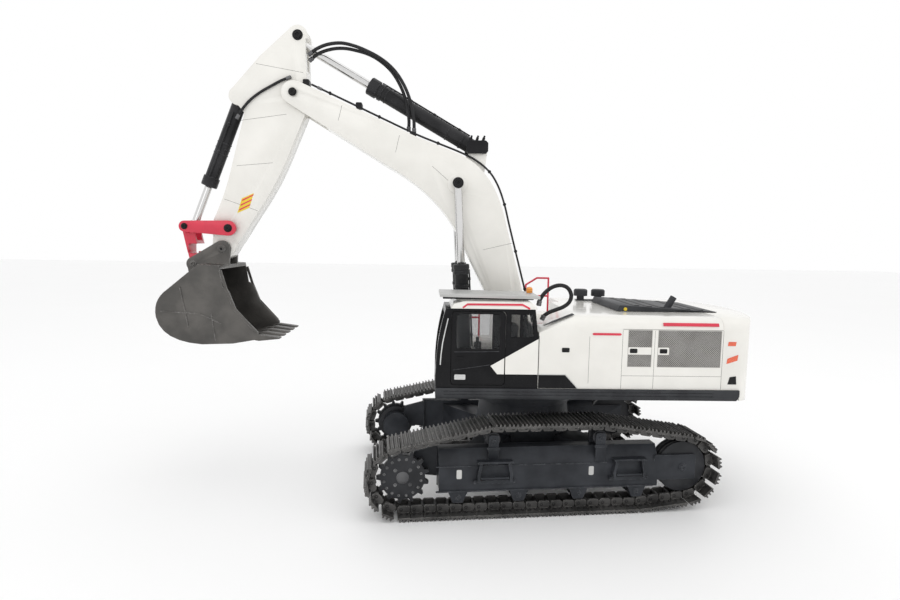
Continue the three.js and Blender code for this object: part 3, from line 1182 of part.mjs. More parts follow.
export default group;
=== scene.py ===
import math

import bmesh
import bpy
from mathutils import Matrix, Vector


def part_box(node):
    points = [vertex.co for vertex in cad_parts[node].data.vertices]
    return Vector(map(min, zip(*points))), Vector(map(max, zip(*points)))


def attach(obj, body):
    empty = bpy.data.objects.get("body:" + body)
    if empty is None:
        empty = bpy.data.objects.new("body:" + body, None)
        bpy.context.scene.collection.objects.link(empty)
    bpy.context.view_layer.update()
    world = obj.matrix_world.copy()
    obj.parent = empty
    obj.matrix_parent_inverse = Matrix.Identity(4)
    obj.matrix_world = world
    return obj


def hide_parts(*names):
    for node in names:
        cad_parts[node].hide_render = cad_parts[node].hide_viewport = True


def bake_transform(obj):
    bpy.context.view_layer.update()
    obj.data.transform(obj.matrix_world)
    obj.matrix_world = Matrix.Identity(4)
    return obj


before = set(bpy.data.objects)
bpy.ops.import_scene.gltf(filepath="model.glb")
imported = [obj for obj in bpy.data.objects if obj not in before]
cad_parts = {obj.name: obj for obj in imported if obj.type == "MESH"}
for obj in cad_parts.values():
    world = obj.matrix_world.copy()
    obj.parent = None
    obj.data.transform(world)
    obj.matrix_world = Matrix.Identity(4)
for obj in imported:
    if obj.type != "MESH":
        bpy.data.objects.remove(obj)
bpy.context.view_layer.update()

# ---------------------------------------------------------------- camera
# The upper structure is turned a little on its slewing ring, so a point given in its own
# millimetres is turned and moved into the frame. The undercarriage is only moved.
SWING_REST = math.radians(-5.1)
SLEW_CENTRE = Vector((0.0796458, 0.0042495, 0))


def upper(x, y, z):
    turned = Matrix.Rotation(SWING_REST, 3, "Z") @ Vector((x, y, z))
    return SLEW_CENTRE + turned * 0.001


def lower(x, y, z):
    return SLEW_CENTRE + Vector((x, y, z)) * 0.001


def plain(x, y, z):
    """Millimetres of the whole model."""
    return Vector((x, y, z)) * 0.001


CAMERA_PLACE = Vector((-0.095491, -0.674676, 0.271226))
CAMERA_YAW, CAMERA_PITCH, CAMERA_ROLL = 0.128, 0.097, -0.019

lens = bpy.data.cameras.new("camera")
lens.sensor_width = 36
lens.lens = 24.315
camera = bpy.data.objects.new("camera", lens)
bpy.context.scene.collection.objects.link(camera)
ahead = Vector((
    math.sin(CAMERA_YAW) * math.cos(CAMERA_PITCH),
    math.cos(CAMERA_YAW) * math.cos(CAMERA_PITCH),
    -math.sin(CAMERA_PITCH),
))
level = Vector((math.cos(CAMERA_YAW), -math.sin(CAMERA_YAW), 0))
below = ahead.cross(level)
side = level * math.cos(CAMERA_ROLL) + below * math.sin(CAMERA_ROLL)
down = below * math.cos(CAMERA_ROLL) - level * math.sin(CAMERA_ROLL)
camera.matrix_world = Matrix.Translation(CAMERA_PLACE) @ Matrix((side, -down, -ahead)).transposed().to_4x4()
bpy.context.scene.camera = camera


# ---------------------------------------------------------------- hoses and the cab cable
# Black rubber hydraulic hoses with pressed steel ferrules, and one thicker cable behind the cab.
# Two of them bridge the stick's pivot in a free arch that is fixed to no part; one ferrule of each rides the
# stick and the other the boom.
class Wire:
    """One shader socket. Sums, products and comparisons of sockets and numbers add Math nodes."""

    def __init__(self, finish, socket):
        self.finish, self.socket = finish, socket

    def maths(self, operation, *values):
        return self.finish.node("Math", {"operation": operation}, dict(enumerate(values)))

    def __add__(self, other):
        return self.maths("ADD", self, other)

    def __sub__(self, other):
        return self.maths("SUBTRACT", self, other)

    def __rsub__(self, other):
        return self.maths("SUBTRACT", other, self)

    def __mul__(self, other):
        return self.maths("MULTIPLY", self, other)

    def __gt__(self, other):
        return self.maths("GREATER_THAN", self, other)

    def __lt__(self, other):
        return self.maths("LESS_THAN", self, other)

    def __mod__(self, other):
        return self.maths("FLOORED_MODULO", self, other)

    __radd__ = __add__
    __rmul__ = __mul__

    def between(self, low, high):
        return self.finish.node("MapRange", {"interpolation_type": "SMOOTHSTEP"}, {0: self, 1: low, 2: high})


class Finish:
    """A material for one kind of surface. Constants go straight to the shader's own sockets."""

    def __init__(self, name, **constants):
        self.material = bpy.data.materials.new(name)
        self.material.use_nodes = True
        self.tree = self.material.node_tree
        self.shader = self.tree.nodes["Principled BSDF"]
        for socket, value in constants.items():
            self.shader.inputs[socket.replace("_", " ")].default_value = value
        self.spot = self.node("TexCoord", {}, {}, out="Object")

    def node(self, kind, settings, values, out=0):
        made = self.tree.nodes.new("ShaderNode" + kind)
        for name, value in settings.items():
            setattr(made, name, value)
        for key, value in values.items():
            if isinstance(value, Wire):
                self.tree.links.new(value.socket, made.inputs[key])
            else:
                made.inputs[key].default_value = value
        return Wire(self, made.outputs[out])

    def noise(self, scale, detail=3.0):
        return self.node("TexNoise", {}, {"Vector": self.spot, "Scale": scale, "Detail": detail})

    def mix(self, mask, first, second):
        return self.node("Mix", {"data_type": "RGBA"}, {0: mask, 6: first, 7: second}, out=2)

    def edges(self, radius_mm):
        """1 where the surface turns sharply within the radius, 0 on the flat."""
        rounded = self.node("Bevel", {"samples": 4}, {"Radius": radius_mm * 0.001})
        plain = self.node("NewGeometry", {}, {}, out="Normal")
        same = self.node("VectorMath", {"operation": "DOT_PRODUCT"}, {0: rounded, 1: plain}, out="Value")
        return (1 - same).between(0.01, 0.14)

    def wear(self, **values):
        for socket, value in values.items():
            self.tree.links.new(value.socket, self.shader.inputs[socket.replace("_", " ")])

    def relief(self, height, depth_mm):
        values = {"Strength": 1.0, "Distance": depth_mm * 0.001, "Height": height}
        bump = self.node("Bump", {}, values, out="Normal")
        self.wear(Normal=bump)


def tint(red, green, blue):
    return (red, green, blue, 1.0)


def moulded(name, colour, second, rough, grain=1400, depth=0.03, worn=None, edge=0.6, **constants):
    """Plastic or paint: two near shades in soft patches, a fine grain, and edges rubbed to `worn`."""
    finish = Finish(name, **constants)
    patches, fine = finish.noise(38, 4.0), finish.noise(grain, 2.0)
    colours = finish.mix(patches.between(0.3, 0.7), tint(*colour), tint(*second))
    roughness = (fine - 0.5) * 0.12 + (patches - 0.5) * 0.16 + rough
    if worn:
        rubbed = finish.edges(edge) * finish.noise(240, 3.0).between(0.35, 0.62)
        colours = finish.mix(rubbed, colours, tint(*worn))
        roughness = roughness - rubbed * 0.1
    finish.wear(Base_Color=colours, Roughness=roughness)
    finish.relief(fine, depth)
    return finish


class Blank:
    """A piece being made, in millimetres of the part of the machine that it is fixed to."""

    def __init__(self):
        self.mesh = bmesh.new()

    def skin(self, rings, capped=True):
        """Rings of as many points each, joined one to the next. Uncapped, the last joins the first."""
        rows = [[self.mesh.verts.new(spot) for spot in ring] for ring in rings]
        for one, two in zip(rows, rows[1:] if capped else [*rows[1:], rows[0]]):
            for index in range(len(one)):
                after = (index + 1) % len(one)
                self.mesh.faces.new((one[index], one[after], two[after], two[index]))
        if capped:
            self.mesh.faces.new(rows[0][::-1])
            self.mesh.faces.new(rows[-1])
        return self

    def across(self, outline, near, far):
        """An outline in x and z, from y near to y far."""
        return self.skin([[(x, y, z) for x, z in outline] for y in (near, far)])

    def turned(self, foot, axis, profile, sides=24, hollow=False):
        """Radii along an axis, as on a lathe. A hollow piece's profile goes on along its bore."""
        foot, axis = Vector(foot), Vector(axis).normalized()
        first = axis.orthogonal().normalized()
        second = axis.cross(first)
        rings = []
        for distance, radius in profile:
            steps = [2 * math.pi * index / sides for index in range(sides)]
            rings.append([
                foot + axis * distance + first * (radius * math.cos(a)) + second * (radius * math.sin(a))
                for a in steps
            ])
        return self.skin(rings, capped=not hollow)

    def bolt(self, foot, axis, size, height):
        """A round washer under a hexagon head with turned down corners, and a shallow socket."""
        self.turned(foot, axis, [(0, size * 1.35), (height * 0.2, size * 1.35), (height * 0.28, size * 1.25)])
        head = [(height * 0.25, size), (height * 0.85, size), (height, size * 0.84), (height, size * 0.5),
                (height * 0.6, size * 0.44)]
        return self.turned(foot, axis, head, sides=6)

    def fit(self, name, body, finish, place=upper, round_mm=0.2, slot=None):
        bmesh.ops.recalc_face_normals(self.mesh, faces=self.mesh.faces)
        for vertex in self.mesh.verts:
            vertex.co = place(*vertex.co)
        data = bpy.data.meshes.new(name)
        self.mesh.to_mesh(data)
        self.mesh.free()
        made = bpy.data.objects.new(name, data)
        bpy.context.scene.collection.objects.link(made)
        coat(made, finish, round_mm)
        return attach(made, body) if body else made


def coat(thing, finish, round_mm):
    """Gives a piece its material and small rounded edges."""
    thing.data.materials.clear()
    thing.data.materials.append(finish.material)
    for polygon in thing.data.polygons:
        polygon.material_index = 0
        polygon.use_smooth = True
    weld = thing.modifiers.new("weld", "WELD")
    weld.merge_threshold = 0.000002
    rounding = thing.modifiers.new("rounding", "BEVEL")
    rounding.width = round_mm * 0.001
    rounding.segments = 2
    rounding.limit_method = "ANGLE"
    rounding.angle_limit = math.radians(32)
    rounding.harden_normals = True
    rounding.use_clamp_overlap = True


def dress(finish, *names, round_mm=0.3):
    """A piece whose shape is already right gets its finish."""
    for name in names:
        coat(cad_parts[name], finish, round_mm)


def smooth_route(points, steps=6):
    """The even curve through the points, closer together."""
    spots = [Vector(p) for p in points]
    ends = [2 * spots[0] - spots[1], *spots, 2 * spots[-1] - spots[-2]]
    path = []
    for before, start, end, after in zip(ends, ends[1:], ends[2:], ends[3:]):
        for step in range(steps):
            t = step / steps
            path.append(0.5 * (
                2 * start + (end - before) * t + (2 * before - 5 * start + 4 * end - after) * t * t
                + (3 * start - before - 3 * end + after) * t ** 3
            ))
    return path + [spots[-1]]


def hose_skin(path, radius, sides=12):
    """A round tube along the path that doesn't twist."""
    shape, rings = Blank(), []
    across = (path[1] - path[0]).orthogonal().normalized()
    for index, spot in enumerate(path):
        along = (path[min(index + 1, len(path) - 1)] - path[max(index - 1, 0)]).normalized()
        across = (across - along * across.dot(along)).normalized()
        other = along.cross(across)
        turns = [2 * math.pi * step / sides for step in range(sides)]
        rings.append([spot + across * (radius * math.cos(a)) + other * (radius * math.sin(a)) for a in turns])
    return shape.skin(rings)


rubber = Finish("black_rubber", Specular_IOR_Level=0.2)
rubber_wrap = rubber.noise(900, 2.0)
rubber.wear(
    Base_Color=rubber.mix(rubber.noise(70), tint(0.012, 0.012, 0.013), tint(0.03, 0.03, 0.032)),
    Roughness=rubber_wrap * 0.25 + 0.36,
)
rubber.relief(rubber_wrap, 0.12)
ferrule_steel = moulded("ferrule_steel", (0.09, 0.09, 0.095), (0.16, 0.16, 0.165), 0.35, worn=(0.5, 0.5, 0.5),
                        Metallic=0.8)

# Each line: the piece it is clipped to, its radius, and the route chosen for it.
HOSES = {
    "boom_hose": ("boom", 1.1, [
        (-241, -14.6, 435.6), (-221, -14.6, 426.8), (-195, -14.6, 415.4), (-168, -14.6, 403.4),
        (-130, -14.6, 386.8), (-104, -14.6, 377), (-80, -14.6, 368.1), (-62, -14.6, 359.6),
        (-47, -14.6, 347.6), (-37, -14.6, 332.4), (-29.4, -14.6, 312.4), (-23.6, -14.6, 290.4),
        (-15.6, -14.6, 261), (-7.6, -14.6, 231.6), (-0.9, -14.6, 207.2), (6.2, -14.6, 181)]),
    "stick_hose": ("stick", 1.4, [
        (-262.4, -14.9, 442.8), (-273, -14.9, 438.6), (-285, -14.9, 432), (-296, -14.9, 425.4),
        (-307, -14.9, 416.6), (-315, -14.9, 407), (-321, -14.9, 397)]),
    "arch_hose_outer": (None, 1.8, [
        (-244.6, -12, 466.4), (-236, -12.6, 473), (-224, -13.6, 477.8), (-209.5, -14.6, 479.4),
        (-195.5, -15.1, 476.8), (-182, -15.1, 472), (-168.8, -15.1, 465.6), (-157, -15.1, 457.2),
        (-147.4, -15.1, 446.6), (-139.4, -15.1, 432.8), (-134, -15, 418), (-130.8, -13.8, 402),
        (-130.2, -11.6, 387.4)]),
    "arch_hose_inner": (None, 1.8, [
        (-244.6, -8, 461.4), (-234, -8.2, 469.8), (-220, -9.3, 474.4), (-206.5, -10.4, 475.2),
        (-193, -11.2, 473), (-180, -11.2, 469.4), (-168.8, -11.2, 463.6), (-158, -11.2, 455),
        (-149.8, -11.2, 444.6), (-143, -11.2, 431.6), (-138.6, -11.2, 417.6), (-136.2, -9.8, 402.6),
        (-136.4, -7.4, 389.6)]),
    "cab_cable": ("upper_structure", 2.1, [
        (2, -70, 206), (3.4, -70, 212.6), (8, -70, 219.5), (15.5, -69.5, 225.4), (24.5, -69, 227.6),
        (32.3, -68, 224.8), (36.4, -67, 217.6), (35, -66, 210.2), (29.4, -65, 205), (21.6, -64.5, 201.6),
        (14.2, -64.4, 198.6), (9, -64.2, 194.8), (7, -64, 190.4)]),
}
FERRULE_SETBACK = 7.0  # keeps the first ferrule of the boom's line clear of the turning stick

for hose_name, (hose_body, hose_radius, hose_points) in HOSES.items():
    route = smooth_route(hose_points)
    hose = hose_skin(route, hose_radius).fit(hose_name + "_line", hose_body, rubber, slot="black_rubber")
    for end, index, inward in (("first", 0, 1), ("last", -1, -2)):
        spot, along = route[index], route[inward] - route[index]
        crimp = [(0.3, hose_radius + 0.1), (0.5, hose_radius + 0.55), (2.4, hose_radius + 0.55),
                 (2.7, hose_radius + 0.35), (3.1, hose_radius + 0.35), (3.4, hose_radius + 0.55),
                 (5.2, hose_radius + 0.5), (5.6, hose_radius + 0.1)]
        ferrule_body = hose_body or ("stick" if end == "first" else "boom")
        if hose_body == "boom" and end == "first":
            spot = spot + along.normalized() * FERRULE_SETBACK
        ferrule = Blank().turned(spot, along, crimp, sides=20)
        ferrule.fit(f"{hose_name}_ferrule_{end}", ferrule_body, ferrule_steel, round_mm=0.08)
    if not hose_body:
        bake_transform(hose)
    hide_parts(hose_name)

# Small black clips that hold the thin line on the boom's back.
black_plastic = moulded("black_plastic", (0.011, 0.011, 0.012), (0.02, 0.02, 0.021), 0.42, depth=0.05,
                        worn=(0.07, 0.07, 0.075), edge=0.35, Specular_IOR_Level=0.15)
clips = Blank()
for clip_x, clip_z in ((-221, 426.8), (-168, 403.4), (-104, 377), (-47, 347.6), (-29.4, 312.4), (-15.6, 261),
                       (-4, 219)):
    clips.turned((clip_x, -16.6, clip_z), (0, 1, 0), [(0, 1.3), (0.3, 1.8), (3.4, 1.8), (3.7, 1.3)], sides=10)
clips.fit("boom_hose_clips", "boom", black_plastic, slot="black_plastic")


# ---------------------------------------------------------------- crawler tracks
# Chains of cast metal shoes, dark in the hollows and rubbed bright on every raised edge, over
# toothed drive wheels under the bucket's end and plain idler wheels under the counterweight's.
shoe_metal = moulded("track_metal", (0.05, 0.049, 0.048), (0.105, 0.102, 0.099), 0.45, grain=700, depth=0.1,
                     worn=(0.42, 0.4, 0.38), edge=0.5, Metallic=0.5)
pin_dark = moulded("pin_dark", (0.012, 0.012, 0.012), (0.03, 0.029, 0.028), 0.5, Metallic=0.4)
SHOE_COUNT = 58
SHOE_HALF_WIDTH = 21
LINK_TOP = 7  # from the wheels' rims to the shoe's underside
SHOE_TOP = 9
GROUSER_TOP = 11.5
LINK_HALF_WIDTH = 9
WHEELS_ROUND = (("bottom_roller_{}_4", 7.1), ("idler_{}", 26.5), ("carrier_roller_{}_2", 7.5),
                ("carrier_roller_{}_1", 7.5), ("sprocket_{}", 26.5))


def chain_path(wheels):
    """The line of a chain pulled round wheels, counterclockwise, as close points in x and z."""
    leave = []
    for (centre, radius), (after, after_radius) in zip(wheels, wheels[1:] + wheels[:1]):
        between = after - centre
        lean = math.asin((radius - after_radius) / between.length)
        leave.append(math.atan2(between.y, between.x) - math.pi / 2 + lean)
    line = []
    for index, (centre, radius) in enumerate(wheels):
        arrive, depart = leave[index - 1], leave[index]
        while depart < arrive:
            depart += 2 * math.pi
        while depart > arrive + 2 * math.pi:
            depart -= 2 * math.pi
        for step in range(25):
            angle = arrive + (depart - arrive) * step / 24
            line.append(centre + Vector((math.cos(angle), math.sin(angle))) * radius)
    return line


def stations(line, count):
    """Even places along a closed line: the spot, the way along and the way out."""
    closed = line + line[:1]
    gaps = [(b - a).length for a, b in zip(closed, closed[1:])]
    pitch, places, walked, index = sum(gaps) / count, [], 0.0, 0
    for number in range(count):
        target = (number + 0.5) * pitch
        while walked + gaps[index] < target:
            walked += gaps[index]
            index += 1
        along = (closed[index + 1] - closed[index]).normalized()
        spot = closed[index] + along * (target - walked)
        places.append((spot, along, Vector((along.y, -along.x))))
    return pitch, places


def chamfered(t0, t1, n0, n1, cut):
    return [(t0 + cut, n0), (t1 - cut, n0), (t1, n0 + cut), (t1, n1 - cut), (t1 - cut, n1), (t0 + cut, n1),
            (t0, n1 - cut), (t0, n0 + cut)]


def shoe_outline(half):
    """A shoe's pad with its three grousers, along the chain and outwards from it."""
    crest = GROUSER_TOP - 0.1
    outline = [(-half * 0.98, LINK_TOP + 0.2), (half * 0.9, LINK_TOP), (half * 1.02, LINK_TOP + 1.1),
               (half * 0.92, SHOE_TOP)]
    for ridge in (0.62, 0, -0.62):
        middle = half * ridge
        outline += [(middle + 1.3, SHOE_TOP), (middle + 0.55, crest), (middle - 0.55, crest),
                    (middle - 1.2, SHOE_TOP)]
    return [*outline, (-half * 0.98, SHOE_TOP - 0.2)]


def set_out(shape, place, profile, near, far):
    """A profile laid at one place of the chain, from y near to y far."""
    spot, along, out = place
    ring = [spot + along * t + out * n for t, n in profile]
    shape.across([(p.x, p.y) for p in ring], near, far)


for track in ("left", "right"):
    wheels = []
    for wheel, radius in WHEELS_ROUND:
        low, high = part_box(wheel.format(track))
        wheels.append((Vector((low.x + high.x, low.z + high.z)) * 500, radius))
    low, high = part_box(f"idler_{track}")
    middle_y = (low.y + high.y) * 500
    pitch, places = stations(chain_path(wheels), SHOE_COUNT)
    half = pitch / 2
    chain, pins = Blank(), Blank()
    for spot, along, out in places:
        place = (spot, along, out)
        set_out(chain, place, shoe_outline(half), middle_y - SHOE_HALF_WIDTH, middle_y + SHOE_HALF_WIDTH)
        for flank in (-1, 1):
            inner, outer = sorted((flank * (LINK_HALF_WIDTH - 2.4), flank * LINK_HALF_WIDTH))
            link = chamfered(-half * 0.94, half * 0.94, 0.15, LINK_TOP + 0.4, 1.6)
            set_out(chain, place, link, middle_y + inner, middle_y + outer)
            heel = spot + along * (-half * 0.4) + out * 3.7
            foot = (heel.x, middle_y + flank * (LINK_HALF_WIDTH - 0.5), heel.y)
            head = [(0, 1.75), (0.7, 1.75), (0.85, 1.5), (0.85, 0.9), (0.3, 0.8)]
            pins.turned(foot, (0, flank, 0), head, sides=12)
            for reach in (-1, 1):
                toe = spot + along * (reach * half * 0.45) + out * (LINK_TOP - 0.3)
                stud = (toe.x, middle_y + flank * 13.5, toe.y)
                pins.turned(stud, (-out.x, 0, -out.y), [(0, 1.5), (0.9, 1.5), (1.2, 1.1)], sides=6)
        bush = spot + along * half + out * 3.6
        pins.turned((bush.x, middle_y - 6.8, bush.y), (0, 1, 0), [(0, 2.3), (13.6, 2.3)], sides=12)
    belt = chain.fit(f"track_chain_{track}", "undercarriage", shoe_metal, place=plain, slot="track_metal",
                     round_mm=0.12)
    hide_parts(f"track_belt_{track}")
    pins.fit(f"track_pins_{track}", "undercarriage", pin_dark, place=plain, slot="track_metal", round_mm=0.1)
wheel_paint = moulded("wheel_paint", (0.016, 0.017, 0.019), (0.035, 0.036, 0.04), 0.42, grain=900, depth=0.08,
                      worn=(0.24, 0.24, 0.25), edge=0.6, Specular_IOR_Level=0.25)
hub_metal = moulded("hub_metal", (0.07, 0.071, 0.075), (0.13, 0.131, 0.135), 0.4, grain=900,
                    worn=(0.4, 0.4, 0.4), edge=0.6, Metallic=0.4)
for track in ("left", "right"):
    dress(wheel_paint, f"sprocket_{track}", f"idler_{track}")
    dress(wheel_paint, *(f"bottom_roller_{track}_{n}" for n in (1, 2, 3, 4)), round_mm=0.25)
    dress(wheel_paint, *(f"carrier_roller_{track}_{n}" for n in (1, 2)), round_mm=0.25)

# Hub covers on the outer faces of the drive and idler wheels, each with its ring of bolts.
for track, outward in (("left", -1), ("right", 1)):
    for wheel, rings in (("sprocket", ((16, 18.6, 1.15), (4, 10.4, 1.5))), ("idler", ((6, 9.5, 1.1),))):
        low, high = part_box(f"{wheel}_{track}")
        centre = (low + high) / 2
        face = low.y if outward < 0 else high.y
        foot = Vector((centre.x, face, centre.z)) * 1000
        axis = Vector((0, outward, 0))
        hub = Blank()
        hub.turned(foot, axis, [(-0.4, 6.2), (0.5, 6.2), (0.8, 5.7), (1.2, 4.2), (1.4, 3.6)], sides=28)
        for count, ring, size in rings:
            for index in range(count):
                angle = 2 * math.pi * (index + 0.5) / count
                spot = foot + Vector((math.cos(angle), 0, math.sin(angle))) * ring
                hub.bolt(spot - axis * 0.4, axis, size, 1.5)
        hub.fit(f"{wheel}_hub_{track}", f"{wheel}_{track}", hub_metal,
                place=plain, slot="undercarriage_paint")

# ---------------------------------------------------------------- side frames and centre frame
# Painted box frames with steps, the cross-shaped centre frame between them, and the slewing ring.
# Blank pale plates and raised bolts stand on the outer faces.
frame_paint = moulded("undercarriage_paint", (0.02, 0.022, 0.026), (0.04, 0.043, 0.05), 0.45, grain=800,
                      depth=0.1, worn=(0.14, 0.145, 0.155), edge=0.7, Specular_IOR_Level=0.2)
dress(frame_paint, "car_body", "track_frame_left", "track_frame_right", "slew_ring")

# Two small pale blank plates on each frame, beside the steps.
label_white = moulded("blank_plate", (0.62, 0.62, 0.6), (0.5, 0.5, 0.49), 0.4)


def strip(points, width):
    """An outline round a bent line of even width, both in x and z."""
    spots = [Vector(p) for p in points]
    left, right = [], []
    for index, spot in enumerate(spots):
        before = spots[max(index - 1, 0)]
        after = spots[min(index + 1, len(spots) - 1)]
        along = (after - before).normalized()
        square = Vector((-along.y, along.x)) * (width / 2)
        left.append(spot + square)
        right.append(spot - square)
    return [tuple(p) for p in left + right[::-1]]


def cornered(x0, x1, z0, z1, corner):
    """A rectangle with cut corners."""
    return [(x0 + corner, z0), (x1 - corner, z0), (x1, z0 + corner), (x1, z1 - corner), (x1 - corner, z1),
            (x0 + corner, z1), (x0, z1 - corner), (x0, z0 + corner)]


FRAME_FACE = 106.2
for track, outward in (("left", -1), ("right", 1)):
    face = outward * FRAME_FACE
    plates = Blank()
    for x, z in ((-89, 42.5), (46, 42.5)):
        plates.across(cornered(x - 2.6, x + 2.6, z - 4.6, z + 4.6, 0.8),
                      face - outward * 0.3, face + outward * 0.25)
    plates.fit(f"blank_plates_{track}", "undercarriage", label_white, place=lower, round_mm=0.06)
    steps = Blank()
    for x0, x1, z0, z1 in ((-71, -37, 33.5, 57), (68, 101, 33, 56)):
        # A tread above, two bent arms, and a rung below on two feet.
        steps.across(cornered(x0 - 1, x1 + 1, z1 - 1.8, z1, 0.5), face - outward * 0.4, face + outward * 8.2)
        steps.across(cornered(x0 - 4, x1 + 4, z0, z0 + 3.4, 0.8), face - outward * 0.4, face + outward * 3.4)
        for x, lean in ((x0 + 3, -1), (x1 - 3, 1)):
            bend = ((x, z1 - 1), (x + lean * 0.6, z1 - 6), (x + lean * 2.4, z0 + 9),
                    (x + lean * 2.0, z0 + 2.5))
            arm = strip(bend, 2.6)
            steps.across(arm, face - outward * 0.4, face + outward * 6.0)
            steps.bolt((x + lean * 5.4, face + outward * 3.2, z0 + 1.7), (0, outward, 0), 1.1, 1.1)
        rung = [(0, 1.2), (x1 - x0 - 6, 1.2)]
        steps.turned((x0 + 3, face + outward * 4.9, z0 + 5.8), (1, 0, 0), rung, sides=12)
    # Bolts on the roller hangers, the carrier posts and the idler yokes, and a rib along the box.
    for x in (-90, -28.3, 33.3, 95):
        steps.bolt((x, face - outward * 0.2, 19.2), (0, outward, 0), 2.3, 1.7)
    for x in (-55, 55):
        steps.bolt((x, face - outward * 0.2, 75.5), (0, outward, 0), 2.6, 1.9)
        steps.across(cornered(x - 6.5, x + 6.5, 66.5, 69, 0.6), face - outward * 0.4, face + outward * 1.0)
    steps.bolt((144, face + outward * 0.2, 43), (0, outward, 0), 3.4, 2.2)
    steps.across(strip(((-112, 50.5), (62, 50.5)), 1.0), face - outward * 0.4, face + outward * 0.5)
    steps.across(strip(((-112, 25.4), (112, 25.4)), 1.4), face - outward * 0.4, face + outward * 1.2)
    steps.fit(f"frame_steps_{track}", "undercarriage", frame_paint, place=lower, slot="undercarriage_paint")

# ---------------------------------------------------------------- deck and skirt
# The deck plate, with a dark plastic rim that hides its edge. Two long grooves run along the rim
# on both sides.
rim_plastic = moulded("charcoal_plastic", (0.03, 0.031, 0.034), (0.05, 0.052, 0.056), 0.44, depth=0.05,
                      worn=(0.13, 0.13, 0.14), edge=0.5, Specular_IOR_Level=0.15)
dress(rim_plastic, "platform", "side_skirt")
dress(moulded("ring_steel", (0.2, 0.2, 0.21), (0.32, 0.32, 0.33), 0.35, Metallic=0.9), "swing_motor")

# ---------------------------------------------------------------- side panels
# Glossy warm-white moulded shell. Doors show as fine gaps, drawn as thin near-black strips of painted shade,
# and behind the engine doors there is pierced sheet over a near-black sheet of painted shade. A black band
# runs along the foot of the panels from the cab to the tank.
SIDE = 104.4
shell_white = moulded("white_shell", (0.83, 0.815, 0.77), (0.79, 0.775, 0.73), 0.24, grain=2200, depth=0.01,
                      Coat_Weight=0.5, Coat_Roughness=0.08)
dress(shell_white, "body_housing", "counterweight", round_mm=0.6)
# Near-black strips for panel gaps and plate seams: painted shade in the seams.
seam_shade_black = moulded("painted_seam_shade", (0.05, 0.049, 0.046), (0.09, 0.088, 0.08), 0.7)
accent_red = moulded("accent_red", (0.7, 0.024, 0.062), (0.6, 0.02, 0.054), 0.36, grain=1800, depth=0.02,
                     worn=(0.75, 0.2, 0.24), edge=0.3, Coat_Weight=0.3)
sheet_grey = moulded("pierced_sheet", (0.3, 0.29, 0.275), (0.4, 0.39, 0.37), 0.45, grain=1500, Metallic=0.3)
# A near-black sheet behind the pierced grilles: painted shade of the engine bay seen through the holes.
grille_shade_black = moulded("grille_shade_black", (0.006, 0.006, 0.006), (0.014, 0.014, 0.014), 0.8)


def pierced(shape, x0, x1, z0, z1, near, far, pitch=2.1, web=0.72):
    """Crossing diagonal webs cut to a rectangle, which leave a lattice of square holes."""
    for lean in (1, -1):
        start = x0 - (z1 - z0) if lean > 0 else x0
        end = x1 if lean > 0 else x1 + (z1 - z0)
        for step in range(int((end - start) / pitch) + 1):
            at = start + step * pitch
            clip = [max(z0, z0 + (x0 - at) * lean), min(z1, z0 + (x1 - at) * lean)]
            if lean < 0:
                clip = [max(z0, z0 + at - x1), min(z1, z0 + at - x0)]
            if clip[1] - clip[0] < 0.3:
                continue
            ends = [(at + lean * (z - z0), z) for z in clip]
            shape.across(strip(ends, web), near, far)
    return shape


def frame_of(x0, x1, z0, z1, rim):
    """The four bars of a rectangular rim."""
    return ([(x0, z0), (x1, z0), (x1, z0 + rim), (x0, z0 + rim)],
            [(x0, z1 - rim), (x1, z1 - rim), (x1, z1), (x0, z1)],
            [(x0, z0 + rim), (x0 + rim, z0 + rim), (x0 + rim, z1 - rim), (x0, z1 - rim)],
            [(x1 - rim, z0 + rim), (x1, z0 + rim), (x1, z1 - rim), (x1 - rim, z1 - rim)])


